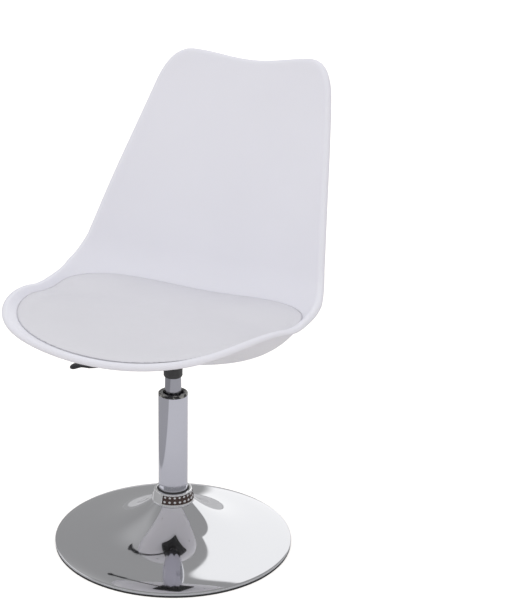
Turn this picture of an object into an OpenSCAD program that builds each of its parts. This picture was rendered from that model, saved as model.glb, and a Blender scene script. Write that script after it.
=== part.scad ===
// Swivel chair with a moulded bucket shell, a fitted seat pad, a gas-lift column and
// a spun trumpet base. Sizes are in millimetres. The floor is z = 0, the column
// stands on the z axis and the sitter faces -Y.

/* [Base] */
// Radius of the spun dish at its rim
base_r = 205; // [180:1:235]
// Height of the dish above the floor just inside its rim
rim_h = 9; // [8.5:0.5:14]
// Radius that rolls the rim over into the dish
rim_round = 3; // [2.5:0.5:5]
// Radius of the neck that stands under the trim ring
neck_r = 33.5; // [32:0.5:38]
// Height of the neck above the floor
neck_h = 78; // [66:1:100]
// How late the dish sweeps up to its neck
sweep = 2.6; // [2.2:0.1:3.6]
// Slope of the dish where its rim begins
edge_fall = 20; // [10:1:24]
// How soon that slope levels out inside the rim
dome_power = 7; // [5:0.5:9]
// Thickness of the dish's sheet steel
dish_wall = 2; // [1.5:0.1:2.5]
// Height of the floor ring that shows under the rim
ring_h = 2; // [1.5:0.5:4]
// Width of the floor ring
ring_w = 6; // [5:0.5:10]
// Height of the pressed brace above the floor
brace_h = 20; // [17:0.5:24]
// Thickness of the brace
brace_t = 2.5; // [2:0.5:4]
// Holes round the brace
brace_holes = 6; // [4:1:8]
// Radius of each brace hole
brace_hole_r = 11; // [6:0.5:13]
// Wall of the hub that the column is pressed into
hub_wall = 4; // [3:0.5:5]
// Height of the hub above the neck
hub_rise = 8; // [5:0.5:9]

/* [Trim ring] */
// Outer radius of the trim ring at its foot
trim_r = 36.6; // [35.6:0.2:42]
// Outer radius of the trim ring at its top
trim_top_r = 32.1; // [31:0.1:34]
// Height of the trim ring
trim_h = 21.5; // [19:0.5:28]
// Plain band at the foot of the trim ring
trim_foot = 3; // [2:0.5:5]
// Wall of the trim ring at its foot
trim_wall = 1.6; // [1.2:0.1:2]
// Depth of the two sunk ornament bands
band_depth = 1.3; // [0.8:0.1:1.4]
// Angle that each ornament band spans
band_span = 126; // [90:6:150]
// Middle of the first ornament band, measured from the chair's +X side
band_turn = -30; // [-90:5:90]
// Angle between two beads of a band
bead_step = 15; // [12:1:20]
// Radius of the beads
bead_r = 1.7; // [1.2:0.1:2]
// Height of the seal's lip above the trim ring
seal_rise = 3; // [3:0.5:8]

/* [Column] */
// Outer radius of the chromed column
column_r = 25; // [24:0.5:27]
// Wall of the column
column_wall = 2; // [1.5:0.1:2.5]
// Height of the column's top edge above the floor
column_h = 271.5; // [260:0.5:300]
// Thickness of the guide bush's flange
bush_flange = 4; // [3:0.5:6]
// Length of the guide bush inside the column
bush_l = 60; // [40:1:75]
// Radius of the hollow in the bush's top face
bush_cup_r = 18; // [16.5:0.5:20]
// Depth of the hollow in the bush's top face
bush_cup_h = 6; // [3:0.5:9]
// Thickness of the plate that closes the column's foot
foot_t = 4; // [3:0.5:6]
// Height of the closing plate above the column's lower edge
foot_rise = 6; // [5:0.5:8]

/* [Gas lift] */
// Outer radius of the gas cylinder
gas_r = 14; // [13.5:0.5:15]
// Wall of the gas cylinder
gas_wall = 2; // [1.5:0.1:2.5]
// Radius that the cylinder tapers to at its top
gas_top_r = 13.1; // [12.9:0.1:13.3]
// Length of the cylinder's taper
taper_l = 40; // [36:1:46]
// Thickness of the cylinder's valve end
valve_end = 16; // [12:1:20]
// Height that the seat can be raised by
stroke = 120; // [80:5:130]
// Gas cylinder that shows between the column and the socket
lift_gap = 28.5; // [20:0.5:45]
// Radius of the piston rod
rod_r = 5; // [4.5:0.5:5.5]
// Radius of the rod's thinner foot
stub_r = 4; // [3:0.5:4]
// Length of the piston
piston_l = 17; // [12:1:20]
// Travel left over past the longest stroke
end_gap = 18; // [10:1:25]
// Length of the gland that closes the cylinder
gland_l = 17; // [12:1:20]
// Length of the rubber stop on the rod
bump_l = 11; // [8:0.5:14]
// Radius of the rubber stop
bump_r = 12; // [10:0.5:13]
// Radius of the bearing balls
ball_r = 2.5; // [2:0.25:3]
// Number of bearing balls
balls = 10; // [8:1:10]
// Radius of the circle that the balls run on
ball_ring_r = 10; // [9.5:0.25:10.5]
// Thickness of each bearing washer
race_t = 2; // [1.5:0.5:3]
// Thickness of the clip under the column's foot plate
clip_t = 1.5; // [1:0.1:1.5]

/* [Mechanism] */
// Outer radius of the black socket under the plate
socket_r = 16; // [15.5:0.5:18]
// Height of the socket
socket_h = 40.5; // [36:0.5:44]
// Chamfer round the socket's foot
socket_chamfer = 2.5; // [1:0.5:3]
// Depth that the gas cylinder enters the socket
seat_in = 20; // [16:0.5:22]
// Width of the seat plate
plate_w = 100; // [96:1:120]
// Depth of the seat plate
plate_d = 100; // [98:1:112]
// Thickness of the seat plate
plate_t = 2.5; // [2:0.5:4]
// Corner radius of the seat plate
plate_round = 10; // [6:1:12]
// Height of the plate's upturned front and rear edges
plate_fold = 3; // [2:0.5:4]
// Distance between the bolts across the chair
bolt_across = 76; // [72:1:78]
// Distance between the bolts from front to back
bolt_along = 72; // [66:1:76]
// Radius of the bolts
bolt_r = 3; // [2.5:0.5:4]
// Radius of the bolt heads
head_r = 5.5; // [5:0.5:7]
// Height of the bolt heads
head_h = 3.3; // [3:0.1:4]
// Radius of the washers
washer_r = 8; // [7:0.5:9]
// Thickness of the washers
washer_t = 1.2; // [1:0.1:2]
// Length of the threaded inserts in the shell's bosses
insert_l = 8; // [6:0.5:9]
// Radius of the threaded inserts
insert_r = 4.6; // [4.5:0.1:5.5]

/* [Lever] */
// Radius of the release button
button_r = 4; // [3:0.5:5]
// Length of the release button
button_l = 20; // [18:0.5:24]
// Distance from the column's axis to the lever's pivot
pivot_x = 40; // [38:0.5:46]
// Radius of the lever's rod
rod_lever_r = 3.5; // [3:0.25:4]
// Length of the rod past the button's centre
rod_over = 5; // [4:0.5:6]
// Radius of the pivot pin
pin_r = 2.5; // [2:0.5:3]
// Radius of the lever's pivot eye
eye_r = 6.5; // [6:0.5:7]
// Width of the lever's pivot eye
eye_w = 12; // [8:0.5:14]
// Thickness of each ear that holds the pivot pin
ear_t = 2.5; // [2:0.5:4]
// Distance from the column's axis to the bend where the handle begins
bend_x = 145.5; // [130:0.5:160]
// Height that the rod falls from the pivot to that bend
rod_fall = 41.5; // [36:0.5:48]
// Length of the handle
handle_l = 58; // [50:1:75]
// Slope of the handle below the level
handle_fall = 13; // [8:0.5:20]
// Half width of the handle's paddle
paddle_w = 12; // [9:0.5:16]
// Half thickness of the handle's paddle
paddle_t = 5; // [4:0.25:7]
// Half width of the handle's neck
neck_w = 6; // [5:0.5:8]
// Half thickness of the handle's neck
neck_t = 2.8; // [2.4:0.2:4]
// Wall of the handle round the rod
grip_wall = 1.8; // [1.5:0.1:3]
// Depth that the rod enters the handle
rod_in = 20; // [15:1:22]
// Radius that the rod is bent to where the handle begins
rod_bend_r = 30; // [20:1:40]
// Swelling of the rod round its bend
bend_swell = 0.3; // [0.2:0.1:0.6]
// Largest angle that the lever turns through
lever_turn = 6; // [4:0.5:6]

/* [Shell] */
// Wall of the moulded shell
shell_wall = 4.5; // [3.5:0.1:5]
// Wall of the shell's rolled rim
rim_wall = 3; // [2.5:0.1:3.5]
// Radius of the rolled rim at the sides and the back
lip_r = 7; // [6:0.1:10]
// Radius of the rolled rim at the front
lip_front_r = 6.2; // [5:0.1:8]
// Angle that the rim is rolled through
lip_turn = 150; // [120:5:160]
// Gap between the seat plate and the lowest point of the shell
boss_h = 2.5; // [1.5:0.5:10]
// Radius of the shell's mounting bosses
boss_r = 8.5; // [8:0.5:10]
// Distance from the column's axis to the seat's front edge
front_y = 254.5; // [240:0.5:275]
// Slope of the seat at its front edge
front_slope = 15.4; // [8:0.2:18]
// Slope of the seat where it begins to bend up
seat_slope = 20.6; // [18:0.2:23]
// Length of the seat ahead of its bend
seat_l = 177; // [160:1:210]
// Radius of the bend between seat and back
bend_r = 187; // [170:1:215]
// Lean of the back from the upright
lean = 21.4; // [17:0.2:25]
// Half width of the shell at its widest
half_w = 231.5; // [220:0.5:245]
// Distance along the shell from its front edge to its widest point
wing_s = 375.5; // [350:0.5:400]
// How square the front of the outline is
front_power = 4.4; // [3.5:0.1:5.5]
// Rise of the seat's sides above its middle
side_rise = 87.5; // [70:0.5:95]
// Part of that rise that is spread over the whole floor
floor_rise = 53; // [45:1:60]
// How suddenly the sides stand up
side_power = 8.5; // [5:0.5:10]
// Radius that the back is curved to across the chair
back_r = 348; // [280:1:450]
// Distance along the shell where the seat's section begins to change
blend_from = 259.5; // [240:0.5:280]
// Distance along the shell where the back's section is reached
blend_to = 408.5; // [380:0.5:450]
// Length of the shell from its front edge to the dip in its top edge
top_s = 807.5; // [760:0.5:850]
// Half width of the back where its top corners begin
top_w = 157.5; // [140:0.5:165]
// Distance of each top peak from the middle
peak_x = 114.5; // [100:0.5:120]
// Height of the top peaks above the dip
peak_rise = 7.5; // [4:0.5:12]
// Length of each top corner
corner_l = 59.5; // [50:0.5:66]
// Taper of the back's sides at the top corners
side_taper = 0.22; // [0.18:0.01:0.26]
// Reach of the side's curve at its widest point
side_pull = 19; // [8:1:40]
// Reach of the side's curve at the top corner
corner_pull = 116; // [100:1:140]

/* [Pad] */
// Half width of the pad
pad_w = 224; // [200:1:225]
// Distance along the shell from its front edge to the pad
pad_front_s = 5; // [4:1:20]
// Distance along the shell to the pad's widest point
pad_mid_s = 264; // [240:1:280]
// Distance along the shell to the pad's rear edge
pad_rear_s = 404; // [380:1:410]
// How square the pad's front is
pad_front_power = 3.1; // [2.6:0.1:3.6]
// How square the pad's rear is
pad_rear_power = 3; // [2.6:0.1:3.6]
// Gap between the pad and the shell
pad_gap = 1.5; // [1.2:0.1:2.5]
// Height of the pad's rolled edge
pad_edge = 9; // [7:0.5:12]
// Crown of the pad's middle above its edge
pad_crown = 2; // [0:0.5:8]
// Thickness of the pad's cover
cover_t = 1.2; // [0.8:0.1:2]
// Width of the cover's hem under the pad, as a part of the pad's reach
hem = 0.15; // [0.12:0.01:0.2]
// Thickness of the pad's moulded board
board_t = 5; // [4:0.5:7]
// Inset of the board, as a part of the pad's reach
board_inset = 0.08; // [0.06:0.01:0.1]
// Radius of the screws that hold the pad
pad_screw_r = 2; // [1.5:0.25:2.5]
// Distance of those screws from the middle of the chair
pad_screw_x = 95; // [85:1:105]

/* [Fits] */
// Gap between two pieces that are pressed or moulded together
press_gap = 0.02; // [0.01:0.01:0.04]
// Gap round a shaft that slides or turns
run_gap = 0.05; // [0.03:0.01:0.08]
// Gap between two surfaces that rest on each other
rest_gap = 0.05; // [0.02:0.01:0.1]
// Gap round each soft layer
soft_gap = 0.3; // [0.2:0.05:0.4]
// Gap round a loose hole
hole_gap = 0.3; // [0.2:0.05:0.5]

/* [Hidden] */
$fn = 64;
eps = 0.01;

// Colours
chrome = [0.78, 0.78, 0.8];
black_steel = [0.09, 0.09, 0.1];
black_plastic = [0.12, 0.12, 0.13];
zinc = [0.6, 0.61, 0.63];
white_plastic = [0.93, 0.93, 0.95];
pad_grey = [0.84, 0.84, 0.86];

// Base heights and radii
hub_r = column_r + press_gap + hub_wall;
hub_top = neck_h + hub_rise;
column_foot_z = brace_h;
plate_foot_z = column_foot_z + foot_rise;

// Thrust bearing, from the foot plate upwards
race_low_z = plate_foot_z + foot_t;
ball_z = race_low_z + race_t + ball_r + press_gap;
race_up_z = ball_z + ball_r + press_gap;
shoulder_z = race_up_z + race_t;
bump_z = shoulder_z;
gas_z = bump_z + bump_l + soft_gap;
piston_z = gas_z + gland_l + stroke + end_gap;

// Column top, socket and plate
flange_z = column_h + bush_flange;
socket_z = flange_z + lift_gap;
gas_top = socket_z + seat_in;
taper_z = gas_top - taper_l;
plate_z = socket_z + socket_h;
plate_top = plate_z + plate_t;

// Lever and button
lever_z = plate_z - eye_r - hole_gap;
button_top = lever_z - rod_lever_r - soft_gap;
ear_d = 2 * eye_r;

// Seat: the middle line starts at the front edge and runs back and then up
bend_turn = 90 - lean + seat_slope;
bend_len = bend_r * bend_turn * PI / 180;
low_s = seat_l + bend_r * seat_slope * PI / 180;
line_start = [-front_y, 0, -front_slope];
front_z = plate_top + boss_h + shell_wall - seat_line_rel(low_s)[1];
centre_s = 0.57 * top_s;
pad_centre_s = mix(pad_front_s, pad_mid_s, 0.96);

// Points round each ring of the shell and of the pad
shell_n = 80;
pad_n = 48;

// Lengths, curves and search

function mix(a, b, t) = a + (b - a) * t;

function ease(t) = let (u = min(1, max(0, t))) u * u * (3 - 2 * u);

function unit(v) = v / norm(v);

function bezier(p, t) =
    pow(1 - t, 3) * p[0] + 3 * pow(1 - t, 2) * t * p[1] + 3 * (1 - t) * t * t * p[2] + pow(t, 3) * p[3];

// Value between lo and hi at which a rising function f passes zero
function root(f, lo, hi, n = 24) =
    let (m = (lo + hi) / 2)
    n == 0 ? m : f(m) > 0 ? root(f, lo, m, n - 1) : root(f, m, hi, n - 1);

// Running length of a path at each of its points
function lengths(p, i = 0, sum = 0) =
    i == len(p) ? [] :
    let (s = i == 0 ? 0 : sum + norm(p[i] - p[i - 1]))
    concat([s], lengths(p, i + 1, s));

// The same path with n points at even distances, leaving out its last point
function even(p, n) =
    let (s = lengths(p), total = s[len(s) - 1],
         x = [for (i = [0:len(p) - 1]) [s[i], p[i].x]],
         y = [for (i = [0:len(p) - 1]) [s[i], p[i].y]])
    [for (k = [0:n - 1]) let (d = total * k / n) [lookup(d, x), lookup(d, y)]];

// Mirrors a half outline, which runs from the front middle to the top middle
function both_sides(half) =
    concat(half, [for (i = [len(half) - 2:-1:1]) [-half[i].x, half[i].y]], [half[0]]);

// Profile of the dish: height and slope of its top face at radius r
dish_edge = base_r - rim_round * (1 - sin(edge_fall));
dish_rise = neck_h - rim_h;
dome = tan(edge_fall) * (dish_edge - neck_r) / (dish_rise * dome_power);
function dish_t(r) = max(0, (dish_edge - r) / (dish_edge - neck_r));
function dish_top(r) =
    rim_h + dish_rise * mix(pow(dish_t(r), sweep), 1 - pow(1 - dish_t(r), dome_power), dome);
function dish_slope(r) =
    mix(sweep * pow(dish_t(r), sweep - 1), dome_power * pow(1 - dish_t(r), dome_power - 1), dome)
    * dish_rise / (dish_edge - neck_r);
function dish_under(r) = dish_top(r) - dish_wall * sqrt(1 + pow(dish_slope(r), 2));

// Shell surface. s runs along the middle line, x across the chair

// Point and heading after an arc of length l that turns by t degrees
function arc_end(p, l, t) =
    let (chord = abs(t) < 0.001 ? l : l * sin(t / 2) / (t * PI / 360), a = p[2] + t / 2)
    [p[0] + chord * cos(a), p[1] + chord * sin(a), p[2] + t];

function seat_line_rel(s) =
    let (turn = front_slope - seat_slope,
         bend_start = arc_end(line_start, seat_l, turn))
    s < seat_l ? arc_end(line_start, s, turn * s / seat_l) :
    s < seat_l + bend_len ?
        arc_end(bend_start, s - seat_l, bend_turn * (s - seat_l) / bend_len) :
        arc_end(arc_end(bend_start, bend_len, bend_turn), s - seat_l - bend_len, 0);

// Height of the shell's section at x above its middle line
function section(x, s) =
    let (q = abs(x) / half_w,
         seat = floor_rise * q * q + (side_rise - floor_rise) * pow(q, side_power),
         back = x * x / (2 * back_r))
    mix(seat, back, ease((s - blend_from) / (blend_to - blend_from)));

function on_shell(x, s) =
    let (p = seat_line_rel(s), h = section(x, s))
    [x, p[0] - sin(p[2]) * h, front_z + p[1] + cos(p[2]) * h];

// Unit normal of the shell, pointing to the sitter
function normal(x, s) =
    unit(cross(on_shell(x + 0.5, s) - on_shell(x - 0.5, s),
               on_shell(x, s + 0.5) - on_shell(x, s - 0.5)));

// Point at height h above the shell's inner face
function above(q, h) = on_shell(q.x, q.y) + h * normal(q.x, q.y);

// Distance along the shell at which it passes over [x, y]
function s_at(x, y) = root(function (s) on_shell(x, s).y - y, 0, seat_l + bend_len);

// Outline of the shell as [x, s]
corner_p = [top_w, top_s - corner_l];
peak_p = [peak_x, top_s + peak_rise];
half_outline = concat(
    [for (a = [0:4:88])
        [half_w * pow(sin(a), 2 / front_power), wing_s * (1 - pow(cos(a), 2 / front_power))]],
    [for (t = [0:0.05:0.99])
        bezier([[half_w, wing_s], [half_w, wing_s + side_pull],
                corner_p + corner_pull * [side_taper, -1], corner_p], t)],
    [for (t = [0:0.125:0.99])
        let (up = 0.55 * (peak_p.y - corner_p.y))
        bezier([corner_p, corner_p + up * [-side_taper, 1],
                [mix(peak_p.x, corner_p.x, 0.55), peak_p.y], peak_p], t)],
    [for (i = [10:-1:0])
        [peak_x * i / 10, top_s + peak_rise * (1 - cos(18 * i)) / 2]]);
outline = even(both_sides(half_outline), shell_n);

// Outline of the pad as [x, s]
function pad_side(a, power, reach) =
    [pad_w * pow(sin(a), 2 / power), reach * pow(cos(a), 2 / power)];
half_pad = concat(
    [for (a = [0:5:85]) let (p = pad_side(a, pad_front_power, pad_mid_s - pad_front_s))
        [p.x, pad_mid_s - p.y]],
    [for (a = [90:-5:0]) let (p = pad_side(a, pad_rear_power, pad_rear_s - pad_mid_s))
        [p.x, pad_mid_s + p.y]]);
pad_outline = even(both_sides(half_pad), pad_n);

function shell_ring(f, h) =
    [for (q = outline) above(mix([0, centre_s], q, f), h)];

function pad_ring(f, h) =
    [for (q = pad_outline) above(mix([0, pad_centre_s], q, f), h)];

// Rolled rim: a ring at angle a round the roll, at distance w inside its outer face
function rim_ring(a, w) =
    [for (i = [0:shell_n - 1])
        let (q = outline[i],
             before = outline[(i + shell_n - 1) % shell_n],
             after = outline[(i + 1) % shell_n],
             up = normal(q.x, q.y),
             out = unit(cross(on_shell(after.x, after.y) - on_shell(before.x, before.y), up)),
             r = mix(lip_r, lip_front_r, ease(1 - q.y / (0.6 * wing_s))))
        on_shell(q.x, q.y) - r * up + (r - w) * (sin(a) * out + cos(a) * up)];

// Wall of the shell at part f of the way from its middle to its edge
function wall_at(f) = mix(shell_wall, rim_wall, pow(f, 6));

// Parts of the reach at which the shell and the pad's layers have their rings
shell_steps = [
    0.06, 0.12, 0.18, 0.24, 0.3, 0.36, 0.42, 0.48, 0.54, 0.6, 0.67, 0.74, 0.8, 0.855, 0.9, 0.94, 0.97];
board_steps = [0.25, 0.5, 0.72, 0.88, 1];
pad_steps = [0.24, 0.44, 0.62, 0.78, 0.9];

// Heights of the pad's layers above the shell, with clearance for the flat faces of the rings
board_low = pad_gap + cover_t + 3 * soft_gap;
board_high = board_low + board_t;
foam_low = board_high + 3 * soft_gap;
foam_drop = cover_t + 3 * soft_gap;

// Reach of the board, of the foam and of the roll between the cover's top and its edge
board_reach = 1 - board_inset;
foam_reach = 0.965;
roll_reach = 0.955;

// Pad top: from its edge ring to its crowned middle
pad_roll = pad_ring(roll_reach, pad_edge);
pad_mid = [0, on_shell(0, pad_centre_s).y, pad_top_mean() + pad_crown];
function pad_top_mean() = let (z = [for (p = pad_roll) p.z]) (min(z) + max(z)) / 2;
function pad_top(f, drop) =
    [for (p = pad_roll)
        [mix(pad_mid.x, p.x, f), mix(pad_mid.y, p.y, f),
         mix(pad_mid.z, p.z, pow(f, 2.4)) - drop]];

// Closed surface through a row of rings, from a first point to a last one
module loft(rings, first, last) {
    n = len(rings[0]);
    m = len(rings);
    end = 1 + m * n;
    faces = concat(
        [for (j = [0:n - 1]) [0, 1 + (j + 1) % n, 1 + j]],
        [for (i = [0:m - 2], j = [0:n - 1])
            let (a = 1 + i * n + j, b = 1 + i * n + (j + 1) % n)
            each [[a, b, b + n], [a, b + n, a + n]]],
        [for (j = [0:n - 1]) [end, end - n + j, end - n + (j + 1) % n]]);
    polyhedron(concat([first], [for (r = rings) each r], [last]), faces, convexity = 6);
}

// Ring with a square section
module ring(outer, inner, z, h) {
    translate([0, 0, z])
        rotate_extrude()
            translate([inner, 0]) square([outer - inner, h]);
}

// Copies at the four bolts of the seat plate
module at_bolts() {
    for (x = [-1, 1] * bolt_across / 2, y = [-1, 1] * bolt_along / 2)
        translate([x, y, 0]) children();
}

// Places children on the shell's inner face, with their z axis along its normal
module at_shell(x, s) {
    up = normal(x, s);
    translate(on_shell(x, s))
        rotate(a = acos(up.z), v = [-up.y, up.x, 0])
            children();
}

// Copies at the four screws that hold the pad
module at_pad_screws() {
    for (x = [-1, 1] * pad_screw_x, s = [mix(pad_front_s, pad_mid_s, 0.4), mix(pad_mid_s, pad_rear_s, 0.35)])
        at_shell(x, s) children();
}

// Base

// Spun steel dish with a rolled rim, open underneath
module base_dish() {
    steps = 34;
    radii = [for (i = [0:steps]) mix(dish_edge, neck_r, i / steps)];
    outer = [for (r = radii) [r, dish_top(r)]];
    inner = [for (r = radii)
        let (m = dish_slope(r), k = dish_wall / sqrt(1 + m * m))
        [r - k * m, dish_top(r) - k]];
    roll_at = [base_r - rim_round, rim_h - rim_round * cos(edge_fall)];
    turns = [for (k = [0:4]) (90 - edge_fall) * k / 5];
    roll = [for (a = turns) roll_at + rim_round * [cos(a), sin(a)]];
    inner_roll = [for (k = [4:-1:0])
        roll_at + (rim_round - dish_wall) * [cos(turns[k]), sin(turns[k])]];
    hole = hub_r + press_gap;
    color(chrome)
        rotate_extrude($fn = 128)
            polygon(concat(
                [[base_r, ring_h]], roll, outer,
                [[hole, neck_h], [hole, neck_h - dish_wall]],
                [for (i = [steps - 1:-1:0]) inner[i]],
                inner_roll, [[base_r - dish_wall, ring_h]]));
}

// Pressed disc that ties the hub to the underside of the dish
module base_brace() {
    top = brace_h + brace_t;
    edge = root(function (r) top + rest_gap - dish_under(r), neck_r, dish_edge);
    color(black_steel)
        difference() {
            ring(edge, hub_r + press_gap, brace_h, brace_t);
            for (k = [1:brace_holes])
                rotate(360 * k / brace_holes)
                    translate([mix(hub_r, edge, 0.55), 0, brace_h - 1])
                        cylinder(r = brace_hole_r, h = brace_t + 2);
        }
}

// Turned hub that holds the column
module base_hub() {
    color(black_steel) ring(hub_r, column_r + press_gap, brace_h, hub_top - brace_h);
}

// Soft ring that is clipped over the dish's edge
module floor_ring() {
    out = base_r - dish_wall - rest_gap;
    color(black_plastic)
        rotate_extrude($fn = 128)
            polygon([
                [base_r - 0.5, 0], [base_r - 0.5, ring_h - rest_gap],
                [out, ring_h - rest_gap], [out, 2.5 * ring_h], [base_r - ring_w, 2.5 * ring_h],
                [base_r - ring_w, 0]]);
}

// Cast ring that covers the joint of dish and column, with two beaded bands
trim_in = trim_r - trim_wall;
trim_z = dish_top(trim_in) + rest_gap;
trim_top = trim_z + trim_h;
seal_r = column_r + 2;
bead_root = 0.8;
function trim_face(z) = mix(trim_r, trim_top_r, (z - trim_z - trim_foot) / (trim_h - trim_foot));

// Domed stud that stands on the floor of a band
module bead(z, turn, r) {
    rotate(turn)
        translate([trim_face(z) - band_depth, 0, z])
            rotate([0, 90, 0])
                rotate_extrude($fn = 32)
                    polygon([
                        [0, -bead_root], [r, -bead_root], [r, 0],
                        [0.87 * r, 0.5 * r], [0.5 * r, 0.87 * r], [0, r]]);
}

module trim_ring() {
    bore = seal_r + rest_gap;
    cap = hub_top + rest_gap + 1;
    band_low = trim_z + trim_foot + 1.5;
    band_high = trim_top - 2.5;
    row_low = mix(band_low, band_high, 0.25);
    row_high = mix(band_low, band_high, 0.78);
    color(chrome)
        union() {
            difference() {
                rotate_extrude()
                    polygon([
                        [trim_r, trim_z], [trim_r, trim_z + trim_foot], [trim_top_r, trim_top - 0.6],
                        [trim_top_r - 0.6, trim_top], [bore + 1, trim_top], [bore, trim_top - 1],
                        [bore, cap + 2], [hub_r + rest_gap + 0.5, cap],
                        [trim_in, trim_z + trim_foot], [trim_in, trim_z]]);
                for (side = [0, 180])
                    rotate(band_turn + side - band_span / 2)
                        rotate_extrude(angle = band_span)
                            polygon([
                                [trim_face(band_low) - band_depth, band_low],
                                [trim_face(band_low) + 2, band_low],
                                [trim_face(band_high) + 2, band_high],
                                [trim_face(band_high) - band_depth, band_high]]);
            }
            for (side = [0, 180], a = [bead_step / 2:bead_step:band_span - bead_step / 2]) {
                turn = band_turn + side - band_span / 2 + a;
                bead(row_low, turn, bead_r);
                bead(row_high, turn, 0.9 * bead_r);
            }
        }
}

// Black lip seal between the trim ring and the column
module column_seal() {
    bore = column_r + press_gap;
    color(black_plastic)
        rotate_extrude()
            polygon([
                [bore, hub_top + 4], [seal_r, hub_top + 4], [seal_r, trim_top],
                [mix(bore, seal_r, 0.35), trim_top + seal_rise], [bore, trim_top + seal_rise]]);
}

// Column

// Chromed steel tube
module column_tube() {
    color(chrome) ring(column_r, column_r - column_wall, column_foot_z, column_h - column_foot_z);
}

// Moulded bush that guides the gas cylinder in the column
module column_bush() {
    bore = gas_r + run_gap;
    fit = column_r - column_wall - press_gap;
    color(black_plastic)
        rotate_extrude()
            polygon([
                [bore, column_h - bush_l], [fit - 1, column_h - bush_l], [fit, column_h - bush_l + 4],
                [fit, column_h], [column_r, column_h], [column_r, flange_z - 1], [column_r - 1, flange_z],
                [bush_cup_r, flange_z], [bush_cup_r - 1.5, flange_z - bush_cup_h],
                [bore, flange_z - bush_cup_h]]);
}

// Plate crimped into the column's foot, which carries the thrust bearing
module column_foot() {
    color(zinc)
        ring(column_r - column_wall - press_gap, stub_r + run_gap, plate_foot_z, foot_t);
}

// Lower washer of the thrust bearing
module race_lower() {
    color(zinc) ring(ball_ring_r + 4, stub_r + 1.5, race_low_z, race_t);
}

// Spindle

module bearing_balls() {
    color(zinc)
        for (k = [1:balls])
            rotate(360 * k / balls)
                translate([ball_ring_r, 0, ball_z]) sphere(r = ball_r, $fn = 32);
}

// Flat cage with a pocket for each ball
module ball_cage() {
    color(black_plastic)
        difference() {
            ring(ball_ring_r + ball_r + 0.8, ball_ring_r - ball_r - 0.8, ball_z - 0.6, 1.2);
            for (k = [1:balls])
                rotate(360 * k / balls)
                    translate([ball_ring_r, 0, ball_z - 1]) cylinder(r = ball_r + run_gap, h = 2);
        }
}

// Upper washer of the thrust bearing, under the rod's shoulder
module race_upper() {
    color(zinc) ring(ball_ring_r + 4, stub_r + run_gap, race_up_z, race_t - rest_gap);
}

// Rubber stop that the lowered cylinder meets
module bump_rubber() {
    bore = rod_r + run_gap;
    color(black_plastic)
        rotate_extrude()
            polygon([
                [bore, bump_z + rest_gap], [bump_r, bump_z + rest_gap],
                [bump_r, bump_z + 0.35 * bump_l], [bump_r - 1.5, bump_z + 0.5 * bump_l],
                [bump_r, bump_z + 0.65 * bump_l], [bump_r - 1, bump_z + bump_l], [bore, bump_z + bump_l]]);
}

// Spring clip in the rod's groove, under the foot plate
groove_r = stub_r - 0.8;
clip_z = plate_foot_z - rest_gap - clip_t;
module rod_clip() {
    color(zinc)
        difference() {
            ring(stub_r + 3.5, groove_r + press_gap, clip_z, clip_t);
            translate([0, -1.5, clip_z - 1]) cube([stub_r + 6, 3, clip_t + 2]);
        }
}

// Ground rod with a thinner foot
module piston_rod() {
    foot = clip_z - 2;
    color(zinc)
        rotate_extrude()
            polygon([
                [0, foot], [stub_r - 0.5, foot], [stub_r, foot + 0.5], [stub_r, clip_z - press_gap],
                [groove_r, clip_z - press_gap], [groove_r, clip_z + clip_t + press_gap],
                [stub_r, clip_z + clip_t + press_gap], [stub_r, shoulder_z], [rod_r, shoulder_z],
                [rod_r, piston_z + piston_l + 2], [0, piston_z + piston_l + 2]]);
}

// Piston on the rod's upper end, with a groove for its ring
module piston() {
    out = gas_r - gas_wall - run_gap;
    color(black_plastic)
        rotate_extrude()
            polygon([
                [rod_r + press_gap, piston_z], [out - 1, piston_z], [out, piston_z + 1],
                [out, piston_z + 0.4 * piston_l], [out - 1.5, piston_z + 0.4 * piston_l],
                [out - 1.5, piston_z + 0.6 * piston_l], [out, piston_z + 0.6 * piston_l],
                [out, piston_z + piston_l - 1], [out - 1, piston_z + piston_l],
                [rod_r + press_gap, piston_z + piston_l]]);
}

// Seat: lift and mechanism

// Pressure tube with its tapered head and valve end
module gas_cylinder() {
    bore = gas_r - gas_wall;
    hole = button_r + run_gap;
    color(chrome)
        rotate_extrude()
            polygon([
                [bore, gas_z], [gas_r, gas_z], [gas_r, taper_z], [gas_top_r, gas_top],
                [hole, gas_top], [hole, gas_top - valve_end],
                [bore, gas_top - valve_end]]);
}

// Gland that seals the rod
module cylinder_gland() {
    color(black_plastic)
        ring(gas_r - gas_wall - press_gap, rod_r + run_gap, gas_z, gland_l);
}

// Tapered socket welded under the seat plate, slotted for the lever
module taper_socket() {
    slope = (gas_r - gas_top_r) / taper_l;
    entry = gas_r - slope * (socket_z - taper_z) + press_gap;
    slot_w = 2 * rod_lever_r + 2;
    slot_z = lever_z - rod_lever_r - pivot_x * sin(lever_turn);
    color(black_steel)
        difference() {
            rotate_extrude()
                polygon([
                    [entry, socket_z], [socket_r - 0.6 * socket_chamfer, socket_z],
                    [socket_r, socket_z + socket_chamfer], [socket_r, plate_z - rest_gap],
                    [gas_top_r - 1, plate_z - rest_gap], [gas_top_r - 1, gas_top + rest_gap],
                    [gas_top_r + press_gap, gas_top]]);
            translate([-socket_r - 2, -slot_w / 2, slot_z])
                cube([socket_r + 2, slot_w, plate_z - slot_z + 1]);
        }
}

module rounded_plate(w, d, r, h) {
    linear_extrude(h)
        union() {
            square([w - 2 * r, d], center = true);
            square([w, d - 2 * r], center = true);
            for (x = [-1, 1] * (w / 2 - r), y = [-1, 1] * (d / 2 - r))
                translate([x, y]) circle(r = r);
        }
}

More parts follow.
